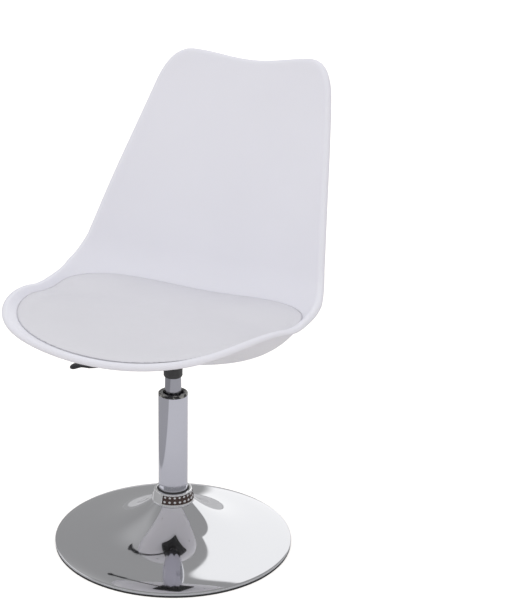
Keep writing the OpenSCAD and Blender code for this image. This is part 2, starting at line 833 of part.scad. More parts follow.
// Pressed steel plate with upturned edges and two ears for the lever's pin
module mount_plate() {
    ear_in = eye_w / 2 + hole_gap;
    color(black_steel)
        difference() {
            union() {
                translate([0, 0, plate_z]) rounded_plate(plate_w, plate_d, plate_round, plate_t);
                for (y = [-plate_d / 2, plate_d / 2 - plate_t])
                    translate([plate_round - plate_w / 2, y, plate_z])
                        cube([plate_w - 2 * plate_round, plate_t, plate_t + plate_fold]);
                for (y = [-ear_in - ear_t, ear_in])
                    translate([-pivot_x - ear_d / 2, y, lever_z - eye_r])
                        cube([ear_d, ear_t, plate_z - lever_z + eye_r + eps]);
            }
            at_bolts() translate([0, 0, plate_z - 1]) cylinder(r = bolt_r + hole_gap, h = plate_t + 2);
            translate([-pivot_x, 0, lever_z])
                rotate([90, 0, 0])
                    cylinder(r = pin_r + press_gap, h = 2 * (ear_in + ear_t + 1), center = true);
        }
}

// Pin that the lever turns on
module lever_pin() {
    half = eye_w / 2 + hole_gap + ear_t + 1;
    color(zinc)
        translate([-pivot_x, 0, lever_z])
            rotate([90, 0, 0]) {
                cylinder(r = pin_r, h = 2 * half, center = true);
                for (side = [-1, 1])
                    translate([0, 0, side * (half + 0.4)]) cylinder(r = pin_r + 1.2, h = 1.2, center = true);
            }
}

// Button-head bolts with a hexagon socket
module plate_bolts() {
    seat = plate_z - washer_t;
    color(zinc)
        at_bolts()
            difference() {
                union() {
                    translate([0, 0, seat - head_h])
                        rotate_extrude()
                            polygon([
                                [0, 0], [0.6 * head_r, 0], [0.9 * head_r, 0.35 * head_h],
                                [head_r, 0.8 * head_h], [head_r, head_h - rest_gap],
                                [0, head_h - rest_gap]]);
                    translate([0, 0, seat - 1]) cylinder(r = bolt_r, h = plate_top + insert_l - seat + 1);
                }
                translate([0, 0, seat - head_h - 1]) cylinder(r = 0.42 * head_r, h = 3, $fn = 6);
            }
}

module bolt_washers() {
    color(zinc)
        at_bolts() ring(washer_r, bolt_r + hole_gap, plate_z - washer_t, washer_t - rest_gap);
}

// Threaded inserts moulded into the shell's bosses
module boss_inserts() {
    color(zinc)
        at_bolts() ring(insert_r, bolt_r + run_gap, plate_top + rest_gap, insert_l);
}

// Seat: shell and pad

// Boss that stands on the seat plate and ends inside the shell's wall
module boss(x, y) {
    tall = side_rise + boss_h;
    intersection() {
        translate([x, y, plate_top + rest_gap]) cylinder(r = boss_r, h = tall);
        at_shell(x, s_at(x, y)) translate([-tall, -tall, -2 * tall - 0.4 * shell_wall]) cube(2 * tall);
    }
}

// Moulded bucket: inner face, rolled rim, outer face and four bosses
module seat_shell() {
    rings = concat(
        [for (f = shell_steps) shell_ring(f, 0)],
        [for (a = [0:lip_turn / 5:lip_turn]) rim_ring(a, 0)],
        [for (a = [lip_turn:-lip_turn / 3:0]) rim_ring(a, rim_wall)],
        [for (i = [len(shell_steps) - 1:-1:0]) shell_ring(shell_steps[i], -wall_at(shell_steps[i]))]);
    middle = [0, centre_s];
    color(white_plastic)
        difference() {
            union() {
                loft(rings, above(middle, 0), above(middle, -shell_wall));
                for (x = [-1, 1] * bolt_across / 2, y = [-1, 1] * bolt_along / 2) boss(x, y);
            }
            at_bolts()
                translate([0, 0, plate_top - 1])
                    cylinder(r = insert_r + press_gap, h = insert_l + 1 + 2 * rest_gap);
            at_pad_screws()
                translate([0, 0, -2 * shell_wall])
                    cylinder(r = pad_screw_r + hole_gap, h = 3 * shell_wall);
        }
}

// Screws that pull the pad's board onto the shell
module pad_screws() {
    bite = board_low + 0.7 * board_t;
    color(zinc)
        at_pad_screws() {
            translate([0, 0, -shell_wall - 1]) cylinder(r = pad_screw_r, h = shell_wall + 1 + bite);
            translate([0, 0, -shell_wall - rest_gap - 2.4])
                rotate_extrude()
                    polygon([
                        [0, 0], [pad_screw_r, 0], [2 * pad_screw_r, 1.2],
                        [2 * pad_screw_r, 2.4], [0, 2.4]]);
        }
}

// Moulded board that carries the pad, dished like the shell
module pad_board() {
    rings = concat(
        [for (f = board_steps) pad_ring(f * board_reach, board_high)],
        [for (i = [len(board_steps) - 1:-1:0]) pad_ring(board_steps[i] * board_reach, board_low)]);
    middle = [0, pad_centre_s];
    color("tan")
        difference() {
            loft(rings, above(middle, board_high), above(middle, board_low));
            at_pad_screws() cylinder(r = pad_screw_r + press_gap, h = board_low + 0.75 * board_t);
        }
}

// Foam between the board and the cover
module pad_foam() {
    rings = concat(
        [for (f = pad_steps) pad_top(f, foam_drop)],
        [pad_ring(roll_reach - 0.01, pad_edge - foam_drop), pad_ring(foam_reach, 0.55 * pad_edge),
         pad_ring(foam_reach, board_low), pad_ring(board_reach + 0.015, board_low),
         pad_ring(board_reach + 0.01, foam_low)],
        [for (i = [len(board_steps) - 2:-1:0]) pad_ring(board_steps[i] * board_reach, foam_low)]);
    color("khaki")
        loft(rings, pad_mid - [0, 0, foam_drop], above([0, pad_centre_s], foam_low));
}

// Sewn cover: crowned top, rolled edge and a hem turned in under the board
module pad_cover() {
    hem_steps = [1 - hem, board_reach, 0.96];
    rings = concat(
        [for (f = pad_steps) pad_top(f, 0)],
        [pad_ring(roll_reach, pad_edge), pad_ring(0.985, 0.8 * pad_edge), pad_ring(1, 0.45 * pad_edge)],
        [pad_ring(0.998, pad_gap)],
        [for (i = [len(hem_steps) - 1:-1:0]) pad_ring(hem_steps[i], pad_gap)],
        [for (f = hem_steps) pad_ring(f, pad_gap + cover_t)],
        [pad_ring(0.985, pad_gap + cover_t), pad_ring(0.984, 0.45 * pad_edge)],
        [pad_ring(roll_reach - 0.005, pad_edge - cover_t)],
        [for (i = [len(pad_steps) - 1:-1:0]) pad_top(pad_steps[i], cover_t)]);
    color(pad_grey) loft(rings, pad_mid, pad_mid - [0, 0, cover_t]);
}

// Lever

handle_at = [-bend_x, 0, lever_z - rod_fall];
// Start of the handle past the middle of the rod's bend
grip_from = 3;

// Bent steel rod: short arm over the button, pivot eye and long arm to the handle
module lever_rod() {
    run = bend_x - pivot_x;
    arm_fall = atan(rod_fall / run);
    bend = arm_fall - handle_fall;
    cut = rod_bend_r * tan(bend / 2);
    color(black_steel)
        difference() {
            union() {
                translate([-pivot_x, 0, lever_z]) {
                    rotate([90, 0, 0]) cylinder(r = eye_r, h = eye_w, center = true);
                    rotate([0, 90, 0]) cylinder(r = rod_lever_r, h = pivot_x + rod_over);
                    rotate([0, -90 - arm_fall, 0]) cylinder(r = rod_lever_r, h = norm([run, rod_fall]));
                }
                translate(handle_at) {
                    rotate([0, -90 - arm_fall, 0])
                        translate([rod_bend_r, 0, -cut])
                            rotate([90, 0, 0])
                                rotate(180 - bend)
                                    rotate_extrude(angle = bend)
                                        translate([rod_bend_r, 0]) circle(r = rod_lever_r + bend_swell);
                    rotate([0, -90 - handle_fall, 0]) cylinder(r = rod_lever_r, h = rod_in);
                }
            }
            translate([-pivot_x, 0, lever_z])
                rotate([90, 0, 0]) cylinder(r = pin_r + run_gap, h = eye_w + 2, center = true);
        }
}

// Moulded handle: a thick root on the rod, a thin neck and a flat round paddle
module lever_handle() {
    n = 24;
    steps = 18;
    neck_at = 0.58;
    cap_from = 0.82;
    root_r = rod_lever_r + grip_wall;
    function cap(t) = sqrt(max(0, 1 - pow(max(0, (t - cap_from) / (1 - cap_from)), 2)));
    function swell(t, root, neck, paddle) =
        cap(t) * (t < neck_at ? mix(root, neck, ease((t - 0.3) / (neck_at - 0.3)))
                              : mix(neck, paddle, ease((t - neck_at) / (cap_from + 0.06 - neck_at))));
    rings = [for (i = [0:steps - 1])
        let (t = 0.992 * i / (steps - 1))
        [for (k = [0:n - 1])
            [swell(t, root_r, neck_t, paddle_t) * sin(360 * k / n),
             swell(t, root_r + 1, neck_w, paddle_w) * cos(360 * k / n), handle_l * t]]];
    color(black_plastic)
        translate(handle_at)
            rotate([0, -90 - handle_fall, 0])
                difference() {
                    translate([0, 0, grip_from]) loft(rings, [0, 0, 0], [0, 0, handle_l]);
                    cylinder(r = rod_lever_r + press_gap, h = rod_in + rest_gap);
                }
}

// Release button in the cylinder's valve end
module valve_button() {
    color(zinc)
        translate([0, 0, button_top - button_l])
            rotate_extrude()
                polygon([
                    [0, 0], [button_r, 0], [button_r, button_l - 0.5], [button_r - 0.5, button_l],
                    [0, button_l]]);
}

base_dish();
base_brace();
base_hub();
floor_ring();
trim_ring();
column_seal();
column_tube();
column_bush();
column_foot();
race_lower();
bearing_balls();
ball_cage();
race_upper();
bump_rubber();
rod_clip();
piston_rod();
piston();
gas_cylinder();
cylinder_gland();
taper_socket();
mount_plate();
lever_pin();
plate_bolts();
bolt_washers();
boss_inserts();
seat_shell();
pad_screws();
pad_board();
pad_foam();
pad_cover();
lever_rod();
lever_handle();
valve_button();
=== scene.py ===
# Swivel chair with a moulded bucket shell, a fitted pad, a gas-lift column and a spun base.
# Lengths are in metres, in the chair's own frame: floor at z = 0, column on the z axis, sitter facing -Y.

import math

import bmesh
import bpy
from mathutils import Matrix, Vector, kdtree


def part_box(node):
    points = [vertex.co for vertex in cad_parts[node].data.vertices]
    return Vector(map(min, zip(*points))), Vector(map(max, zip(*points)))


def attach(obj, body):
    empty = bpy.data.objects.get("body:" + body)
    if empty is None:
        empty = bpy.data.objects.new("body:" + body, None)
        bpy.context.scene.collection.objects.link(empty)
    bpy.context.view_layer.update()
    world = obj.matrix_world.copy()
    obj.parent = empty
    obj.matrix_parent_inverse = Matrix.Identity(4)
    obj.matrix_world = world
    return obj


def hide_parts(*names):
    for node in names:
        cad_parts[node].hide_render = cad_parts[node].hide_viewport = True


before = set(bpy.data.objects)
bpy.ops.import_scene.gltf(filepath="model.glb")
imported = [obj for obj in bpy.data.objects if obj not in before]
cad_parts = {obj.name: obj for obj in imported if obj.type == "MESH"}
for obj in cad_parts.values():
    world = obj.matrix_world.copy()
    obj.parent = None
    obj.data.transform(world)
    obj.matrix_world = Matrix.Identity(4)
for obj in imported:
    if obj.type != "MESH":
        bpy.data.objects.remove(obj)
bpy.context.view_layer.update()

# Base dish. A disc of 2 mm sheet steel, spun over a former into a trumpet with its edge rolled down,
# then polished and chrome plated. It is turned here in far finer steps than its solid, for clean reflections.

dish_r = 0.205
dish_roll = 0.003
dish_rim_z = 0.009
dish_neck_r = 0.0335
dish_neck_z = 0.078
dish_sweep = 2.6
dish_edge_fall = math.radians(20)
dish_dome_power = 7
dish_wall = 0.002
dish_hole_r = 0.02904
dish_foot_z = 0.002
dish_rings = 110
dish_roll_steps = 6
chrome_tint = (0.66, 0.665, 0.685)


def turned(profile, steps=160, rounding=0.0):
    """A mesh turned round the z axis from (radius, height) points, with its corners rounded."""
    work = bmesh.new()
    corners = [work.verts.new((r, 0, z)) for r, z in profile]
    work.faces.new(corners)
    if rounding:
        bmesh.ops.bevel(work, geom=corners, offset=rounding, offset_type="OFFSET", segments=3,
                        profile=0.5, affect="VERTICES", material=-1)
    bmesh.ops.delete(work, geom=work.faces[:], context="FACES_ONLY")
    bmesh.ops.spin(work, geom=work.verts[:] + work.edges[:], axis=(0, 0, 1), angle=2 * math.pi,
                   steps=steps, use_merge=True)
    return work


def made(name, work, finish, body, replaced=(), sharp=35):
    """Turns a bmesh into a finished piece of the chair."""
    bmesh.ops.remove_doubles(work, verts=work.verts, dist=1e-6)
    bmesh.ops.dissolve_degenerate(work, edges=work.edges, dist=1e-7)
    bmesh.ops.recalc_face_normals(work, faces=work.faces)
    if all(edge.is_manifold for edge in work.edges) and work.calc_volume(signed=True) < 0:
        bmesh.ops.reverse_faces(work, faces=work.faces)
    mesh = bpy.data.meshes.new(name)
    work.to_mesh(mesh)
    work.free()
    mesh.shade_smooth()
    mesh.set_sharp_from_angle(angle=math.radians(sharp))
    mesh.materials.append(finish)
    piece = bpy.data.objects.new(name, mesh)
    bpy.context.scene.collection.objects.link(piece)
    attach(piece, body)
    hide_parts(*replaced)
    return piece


def new_finish(name, colour, metallic=0.0):
    """A material with one shader, in one colour until its patterns are added."""
    finish = bpy.data.materials.new(name)
    finish.use_nodes = True
    shader = finish.node_tree.nodes["Principled BSDF"]
    shader.inputs["Base Color"].default_value = (*colour, 1)
    shader.inputs["Metallic"].default_value = metallic
    return finish, shader


def clouds(finish, scale, detail=3.0, stretch=(1, 1, 1)):
    """Noise fixed to the piece, with about scale spots to the metre."""
    tree = finish.node_tree
    place = tree.nodes.new("ShaderNodeTexCoord")
    shape = tree.nodes.new("ShaderNodeMapping")
    shape.inputs["Scale"].default_value = stretch
    noise = tree.nodes.new("ShaderNodeTexNoise")
    noise.inputs["Scale"].default_value = scale
    noise.inputs["Detail"].default_value = detail
    tree.links.new(place.outputs["Object"], shape.inputs["Vector"])
    tree.links.new(shape.outputs["Vector"], noise.inputs["Vector"])
    return noise.outputs["Fac"]


def varied(finish, source, target, low, high):
    """Drives a shader number with a pattern, from low to high."""
    tree = finish.node_tree
    span = tree.nodes.new("ShaderNodeMapRange")
    span.inputs["From Min"].default_value = 0.3
    span.inputs["From Max"].default_value = 0.7
    span.inputs["To Min"].default_value = low
    span.inputs["To Max"].default_value = high
    tree.links.new(source, span.inputs["Value"])
    tree.links.new(span.outputs["Result"], target)


def toned(finish, shader, source, first, second, start=0.3, end=0.7):
    """Varies the colour between two tones with a pattern, as it runs from start to end."""
    tree = finish.node_tree
    ramp = tree.nodes.new("ShaderNodeValToRGB")
    ramp.color_ramp.elements[0].position = start
    ramp.color_ramp.elements[0].color = (*first, 1)
    ramp.color_ramp.elements[1].position = end
    ramp.color_ramp.elements[1].color = (*second, 1)
    tree.links.new(source, ramp.inputs["Fac"])
    tree.links.new(ramp.outputs["Color"], shader.inputs["Base Color"])


def embossed(finish, shader, source, height, strength=1.0):
    """Raises a pattern in the surface by about height."""
    tree = finish.node_tree
    bump = tree.nodes.new("ShaderNodeBump")
    bump.inputs["Strength"].default_value = strength
    bump.inputs["Distance"].default_value = height
    tree.links.new(source, bump.inputs["Height"])
    surface = shader.inputs["Normal"]
    if surface.is_linked:
        tree.links.new(surface.links[0].from_socket, bump.inputs["Normal"])
    tree.links.new(bump.outputs["Normal"], surface)


def chrome_plate(name, tint, gloss=0.03, haze=0.075):
    """Bright chrome with faint wiping marks and a trace of waviness from the polishing."""
    finish, shader = new_finish(name, tint, 1.0)
    varied(finish, clouds(finish, 38, 5), shader.inputs["Roughness"], gloss, haze)
    embossed(finish, shader, clouds(finish, 16, 1), 0.00004)
    return finish


dish_edge = dish_r - dish_roll * (1 - math.sin(dish_edge_fall))
dish_reach = dish_edge - dish_neck_r
dish_rise = dish_neck_z - dish_rim_z
dish_dome = math.tan(dish_edge_fall) * dish_reach / (dish_rise * dish_dome_power)


def dish_top(r):
    """Height and slope of the dish's top face at radius r: a late sweep plus a domed edge."""
    t = (dish_edge - r) / dish_reach
    swept, domed = t ** dish_sweep, 1 - (1 - t) ** dish_dome_power
    steep = dish_sweep * t ** (dish_sweep - 1)
    level = dish_dome_power * (1 - t) ** (dish_dome_power - 1)
    return (dish_rim_z + dish_rise * ((1 - dish_dome) * swept + dish_dome * domed),
            dish_rise / dish_reach * ((1 - dish_dome) * steep + dish_dome * level))


dish_outer = []
dish_inner = []
for k in range(dish_rings + 1):
    r = dish_edge - dish_reach * k / dish_rings
    z, slope = dish_top(r)
    steep = dish_wall / math.sqrt(1 + slope * slope)
    dish_outer.append((r, z))
    dish_inner.append((r - slope * steep, z - steep))
roll_r = dish_r - dish_roll
roll_in = dish_roll - dish_wall
roll_z = dish_rim_z - dish_roll * math.cos(dish_edge_fall)
curl_z = dish_foot_z + dish_roll
roll_turns = [(math.pi / 2 - dish_edge_fall) * k / dish_roll_steps for k in range(dish_roll_steps)]
curl_turns = [math.pi / 2 * (k + 1) / dish_roll_steps for k in range(dish_roll_steps)]
roll_outer = [(roll_r + dish_roll * math.cos(a), roll_z + dish_roll * math.sin(a)) for a in roll_turns]
roll_inner = [(roll_r + roll_in * math.cos(a), roll_z + roll_in * math.sin(a)) for a in reversed(roll_turns)]
curl_outer = [(roll_r + dish_roll * math.cos(a), curl_z - dish_roll * math.sin(a)) for a in reversed(curl_turns)]
curl_inner = [(roll_r + roll_in * math.cos(a), curl_z - roll_in * math.sin(a)) for a in curl_turns]
dish_profile = (curl_outer + roll_outer + dish_outer
                + [(dish_hole_r, dish_neck_z), (dish_hole_r, dish_neck_z - dish_wall)]
                + dish_inner[-2::-1] + roll_inner + curl_inner)
mirror_chrome = chrome_plate("mirror_chrome", chrome_tint)
made("dish_skin", turned(dish_profile, steps=256), mirror_chrome, "base", ["base_dish"])

# Brace, hub and floor ring. The hub is turned steel with the pressed brace round it, both sprayed satin black.
# The ring under the dish's edge is extruded rubber, clipped on so that the chrome doesn't scratch the floor.

coat_black = (0.032, 0.032, 0.034)
rubber_black = (0.018, 0.018, 0.019)


def powder_coat(name):
    """Satin black powder coat with its fine orange-peel texture."""
    finish, shader = new_finish(name, coat_black)
    toned(finish, shader, clouds(finish, 60, 4), coat_black, tuple(1.5 * c for c in coat_black))
    varied(finish, clouds(finish, 90, 4), shader.inputs["Roughness"], 0.38, 0.55)
    embossed(finish, shader, clouds(finish, 1500, 2), 0.00006)
    return finish


def black_rubber(name):
    """Smooth black rubber, a little chalky where it is handled."""
    finish, shader = new_finish(name, rubber_black)
    toned(finish, shader, clouds(finish, 120, 5), rubber_black, tuple(1.8 * c for c in rubber_black))
    varied(finish, clouds(finish, 200, 4), shader.inputs["Roughness"], 0.45, 0.7)
    embossed(finish, shader, clouds(finish, 2500, 3), 0.00004)
    return finish


def dressed(finish, body, slot, *nodes):
    """Smoothly shaded pieces from solids that already have the right shape, with their triangles joined up."""
    for name in nodes:
        work = bmesh.new()
        work.from_mesh(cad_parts[name].data)
        made(name + "_finished", work, finish, body, [name], sharp=30)


satin_black = powder_coat("satin_black_coat")
dark_rubber = black_rubber("dark_rubber")
dressed(satin_black, "base", "black_steel", "base_brace", "base_hub")
dressed(dark_rubber, "base", "black_rubber", "floor_ring")

# Trim ring. A zinc casting that slides down over the joint of dish and hub, plated like the dish.
# Two sunk bands are blackened, and two rows of bright domed studs stand on their floor.

trim_low, trim_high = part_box("trim_ring")
trim_r = trim_high.x
trim_top_r = 0.0321
trim_z = trim_low.z
trim_top = trim_high.z
trim_foot_z = trim_z + 0.003
trim_bore_r = 0.02705
trim_hub_r = 0.02907
trim_ceiling_z = trim_top - 0.0107
trim_wall = 0.0016
trim_edge = 0.0006
trim_mouth = 0.001
trim_neck_l = 0.002
trim_seat = 0.0005
trim_band_depth = 0.0013
trim_band_past = 0.002
trim_band_low = trim_foot_z + 0.0015
trim_band_high = trim_top - 0.0025
trim_band_span = math.radians(126)
trim_band_middle = math.radians(-30)
stud_r = 0.0025
stud_dome = 0.6
stud_step = math.radians(15)
stud_count = 8
stud_rows = ((0.25, 1.0), (0.78, 0.9))


def trim_face(z):
    """Radius of the trim ring's tapered face at height z."""
    return trim_r + (trim_top_r - trim_r) * (z - trim_foot_z) / (trim_top - trim_foot_z)


trim_profile = [
    (trim_r, trim_z), (trim_r, trim_foot_z), (trim_top_r, trim_top - trim_edge), (trim_top_r - trim_edge, trim_top),
    (trim_bore_r + trim_mouth, trim_top), (trim_bore_r, trim_top - trim_mouth),
    (trim_bore_r, trim_ceiling_z + trim_neck_l), (trim_hub_r + trim_seat, trim_ceiling_z),
    (trim_r - trim_wall, trim_foot_z), (trim_r - trim_wall, trim_z)]
# Lighter than the dish's plating: the extra brightness is a painted highlight.
highlit_bright_chrome = chrome_plate("highlit_bright_chrome", (0.86, 0.86, 0.87))
trim_ring = made("trim_casting", turned(trim_profile, steps=144, rounding=0.00025), highlit_bright_chrome,
                 "base", ["trim_ring"])

band_cut = bmesh.new()
for side in (0, math.pi):
    start = trim_band_middle + side - trim_band_span / 2
    corners = [band_cut.verts.new((r, 0, z)) for r, z in (
        (trim_face(trim_band_low) - trim_band_depth, trim_band_low), (trim_r + trim_band_past, trim_band_low),
        (trim_r + trim_band_past, trim_band_high), (trim_face(trim_band_high) - trim_band_depth, trim_band_high))]
    section = band_cut.faces.new(corners)
    bmesh.ops.rotate(band_cut, verts=corners, matrix=Matrix.Rotation(start, 3, "Z"))
    kept = bmesh.ops.duplicate(band_cut, geom=[section])
    bmesh.ops.spin(band_cut, geom=[g for g in kept["geom"] if isinstance(g, bmesh.types.BMFace)],
                   axis=(0, 0, 1), angle=trim_band_span, steps=50)
bmesh.ops.remove_doubles(band_cut, verts=band_cut.verts, dist=1e-6)
bmesh.ops.recalc_face_normals(band_cut, faces=band_cut.faces)
cutter_mesh = bpy.data.meshes.new("band_cutter")
band_cut.to_mesh(cutter_mesh)
band_cut.free()
cutter_mesh.materials.append(dark_rubber)
cutter = bpy.data.objects.new("band_cutter", cutter_mesh)
bpy.context.scene.collection.objects.link(cutter)

blackened, blackened_shader = new_finish("blackened_band", (0.09, 0.06, 0.055), 0.6)
toned(blackened, blackened_shader, clouds(blackened, 900, 3), (0.035, 0.022, 0.02), (0.12, 0.08, 0.07))
varied(blackened, clouds(blackened, 500, 3), blackened_shader.inputs["Roughness"], 0.25, 0.5)
trim_ring.data.materials.append(blackened)
cut = trim_ring.modifiers.new("bands", "BOOLEAN")
cut.object = cutter
cut.operation = "DIFFERENCE"
cut.solver = "EXACT"
bpy.context.view_layer.update()
cut_mesh = bpy.data.meshes.new_from_object(trim_ring.evaluated_get(bpy.context.evaluated_depsgraph_get()))
trim_ring.modifiers.clear()
trim_ring.data = cut_mesh
bpy.data.objects.remove(cutter)
for face in cut_mesh.polygons:
    middle = face.center
    reach = math.hypot(middle.x, middle.y)
    sunk = trim_band_low - 1e-5 < middle.z < trim_band_high + 1e-5 and reach < trim_face(middle.z) - 0.0004
    face.material_index = 1 if sunk and reach > trim_hub_r + 0.001 else 0

studs = bmesh.new()
for side in (0, math.pi):
    for k in range(stud_count):
        turn = trim_band_middle + side - trim_band_span / 2 + stud_step * (k + 0.5)
        for height, size in stud_rows:
            z = trim_band_low + (trim_band_high - trim_band_low) * height
            reach = trim_face(z) - trim_band_depth
            place = Matrix.Rotation(turn, 4, "Z") @ Matrix.Translation((reach, 0, z))
            flat = Matrix.Diagonal((stud_dome, 1, 1, 1))
            bmesh.ops.create_uvsphere(studs, u_segments=18, v_segments=12, radius=size * stud_r,
                                      matrix=place @ flat)
made("trim_studs", studs, highlit_bright_chrome, "base")

# Column and its seal. The column is drawn steel tube, polished and chrome plated, with its mouth deburred.
# A black rubber lip seal sits on it, just above the trim ring, and hides the gap.

seal_low, seal_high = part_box("column_seal")
column_low, column_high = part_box("column_tube")
column_r = column_high.x
column_wall = 0.002
column_tint = (0.68, 0.68, 0.75)
seal_r = seal_high.x
seal_lip = 0.0007
seal_land = 0.0006
seal_top = trim_top + 0.0016
made("seal_lip", turned([
    (column_r, seal_low.z), (seal_r, seal_low.z), (seal_r, trim_top - seal_land),
    (column_r + seal_lip, seal_top), (column_r, seal_top)], rounding=0.0002),
    dark_rubber, "base", ["column_seal"])
made("column_skin", turned([
    (column_r, column_low.z), (column_r, column_high.z), (column_r - column_wall, column_high.z),
    (column_r - column_wall, column_low.z)], steps=192, rounding=0.0004),
    chrome_plate("column_chrome", column_tint), "base", ["column_tube"])

# Guide bush. Injection-moulded black nylon, pressed into the column's mouth under its flange.
# Its top face is hollowed round the gas cylinder, and is shiny from the mould and from grease; pale patches are
# painted on it as highlights.

bush_low, bush_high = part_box("column_bush")
bush_bore_r = 0.01405
bush_clearance = 0.00002
bush_fit_r = column_r - column_wall - bush_clearance
bush_lead = 0.001
bush_lead_l = 0.004
bush_edge = 0.001
bush_cup_r = 0.018
bush_cup_foot_r = 0.0165
bush_cup_z = bush_high.z - 0.006
nylon_black = (0.016, 0.016, 0.018)
# Pale grey of the patches painted on the bush's top as highlights, and where the pattern starts them and fills them.
glint_grey = (0.32, 0.32, 0.30)
glint_from = 0.50
glint_full = 0.58


def black_nylon(name, gloss, dull, painted_glints=False):
    """Moulded black nylon, bare or with pale patches painted into its colour as highlights."""
    finish, shader = new_finish(name, nylon_black)
    if painted_glints:
        # Pale patches in the colour: painted highlights.
        toned(finish, shader, clouds(finish, 120, 3), nylon_black, glint_grey, glint_from, glint_full)
    else:
        toned(finish, shader, clouds(finish, 80, 4), nylon_black, tuple(1.7 * c for c in nylon_black))
    varied(finish, clouds(finish, 150, 4), shader.inputs["Roughness"], gloss, dull)
    embossed(finish, shader, clouds(finish, 1800, 2), 0.00003)
    return finish


glinting_nylon = black_nylon("glinting_nylon", 0.05, 0.14, painted_glints=True)
grained_nylon = black_nylon("grained_nylon", 0.35, 0.5)
made("bush_collar", turned([
    (bush_bore_r, bush_low.z), (bush_fit_r - bush_lead, bush_low.z), (bush_fit_r, bush_low.z + bush_lead_l),
    (bush_fit_r, column_high.z), (column_r, column_high.z), (column_r, bush_high.z - bush_edge),
    (column_r - bush_edge, bush_high.z), (bush_cup_r, bush_high.z),
    (bush_cup_foot_r, bush_cup_z), (bush_bore_r, bush_cup_z)],
    steps=144, rounding=0.0003), glinting_nylon, "base", ["column_bush"])

# Bearing and piston rod. The rod stands on a ball thrust bearing in the column's foot and is held by a clip.
# The washers, balls and rod are ground and zinc plated, the cage, piston and gland are nylon, the stop is rubber.

zinc_tint = (0.60, 0.61, 0.63)


def bright_zinc(name):
    """Zinc-plated steel with fine drawing lines and a cloudy passivation."""
    finish, shader = new_finish(name, zinc_tint, 1.0)
    toned(finish, shader, clouds(finish, 45, 4), (0.55, 0.55, 0.56), (0.66, 0.67, 0.70))
    varied(finish, clouds(finish, 300, 4, (1, 1, 0.1)), shader.inputs["Roughness"], 0.22, 0.4)
    embossed(finish, shader, clouds(finish, 900, 2, (1, 1, 0.1)), 0.00002)
    return finish


zinc_plate = bright_zinc("zinc_plate")
dressed(zinc_plate, "base", "zinc_steel", "column_foot", "race_lower")
dressed(zinc_plate, "spindle", "zinc_steel", "bearing_balls", "race_upper", "rod_clip", "piston_rod")
dressed(grained_nylon, "spindle", "black_plastic", "ball_cage", "piston")
dressed(dark_rubber, "spindle", "black_rubber", "bump_rubber")
dressed(grained_nylon, "seat", "black_plastic", "cylinder_gland")

# Gas cylinder. A seamless pressure tube, ground and hard-chromed, that slides in the guide bush.
# Its head is tapered and sits in the socket under the seat.

gas_low, gas_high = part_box("gas_cylinder")
gas_r = gas_high.x
gas_wall = 0.002
gas_top_r = 0.0131
gas_taper = 0.040
gas_hole_r = 0.00405
gas_valve = 0.016
# Darker than the column's chrome: partly the greyer hard chrome, partly painted shade for the tube's place under the
# seat.
shaded_hard_chrome = chrome_plate("shaded_hard_chrome", (0.43, 0.43, 0.475), 0.08, 0.14)
made("gas_tube", turned([
    (gas_r - gas_wall, gas_low.z), (gas_r, gas_low.z), (gas_r, gas_high.z - gas_taper), (gas_top_r, gas_high.z),
    (gas_hole_r, gas_high.z), (gas_hole_r, gas_high.z - gas_valve), (gas_r - gas_wall, gas_high.z - gas_valve)],
    steps=144, rounding=0.0003), shaded_hard_chrome, "seat", ["gas_cylinder"])

# Socket, seat plate and their fastenings. The tapered socket is turned and welded to a pressed plate,
# both powder coated. Blackened button-head bolts and washers hold the plate to zinc inserts in the shell's bosses.

dressed(satin_black, "seat", "black_steel", "taper_socket", "mount_plate")
dressed(satin_black, "seat", "black_steel", "plate_bolts", "bolt_washers")
dressed(zinc_plate, "seat", "zinc_steel", "boss_inserts", "lever_pin")
dressed(zinc_plate, "button", "zinc_steel", "valve_button")

# Lever. A steel rod, bent where the handle begins, turns on a pin and presses the valve's button.
# Its handle is moulded in one piece from black nylon: thick on the rod, thin at the neck, round at the end.

handle_from = Vector((-0.1455, 0, 0.2962))
handle_fall = math.radians(13)
handle_start = 0.003
handle_l = 0.058
handle_root_r = 0.0053
handle_root_extra = 0.001
handle_thick = (0.0028, 0.005)
handle_wide = (0.006, 0.012)
handle_butt = 0.02
handle_narrows = 0.3
handle_neck = 0.58
handle_cap = 0.82
handle_paddle = 0.88
handle_rings = 60
handle_sides = 48


def ease(t):
    """Rises softly from 0 to 1 while t does."""
    t = min(1.0, max(0.0, t))
    return t * t * (3 - 2 * t)


def mix(a, b, t):
    """The value at part t of the way from a to b."""
    return a + (b - a) * t


def handle_half(t, root, neck, paddle):
    """Half width or half thickness of the handle at part t of its length."""
    cap = math.sqrt(max(0.0, 1 - max(0.0, (t - handle_cap) / (1 - handle_cap)) ** 2))
    butt = math.sqrt(max(0.0, 1 - max(0.0, 1 - t / handle_butt) ** 2))
    if t < handle_neck:
        return butt * mix(root, neck, ease((t - handle_narrows) / (handle_neck - handle_narrows)))
    return cap * mix(neck, paddle, ease((t - handle_neck) / (handle_paddle - handle_neck)))


handle = bmesh.new()
spine = [handle.verts.new((1, 0, k / handle_rings)) for k in range(handle_rings + 1)]
for a, b in zip(spine, spine[1:]):
    handle.edges.new((a, b))
bmesh.ops.spin(handle, geom=handle.verts[:] + handle.edges[:], axis=(0, 0, 1), angle=2 * math.pi,
               steps=handle_sides, use_merge=True)
for v in handle.verts:
    t = v.co.z
    v.co = (v.co.x * handle_half(t, handle_root_r, *handle_thick),
            v.co.y * handle_half(t, handle_root_r + handle_root_extra, *handle_wide), handle_start + handle_l * t)
bmesh.ops.transform(handle, verts=handle.verts, matrix=Matrix.Translation(handle_from)
                    @ Matrix.Rotation(-math.pi / 2 - handle_fall, 4, "Y"))
made("lever_grip", handle, grained_nylon, "lever", ["lever_handle"], sharp=60)
dressed(satin_black, "lever", "black_steel", "lever_rod")

# Bucket shell. One injection moulding in white polypropylene, about 4.2 mm thick, with its rim rolled outwards.
# Its middle line runs flat, bends up and leans back, and its section changes from a dished seat to a curved back.

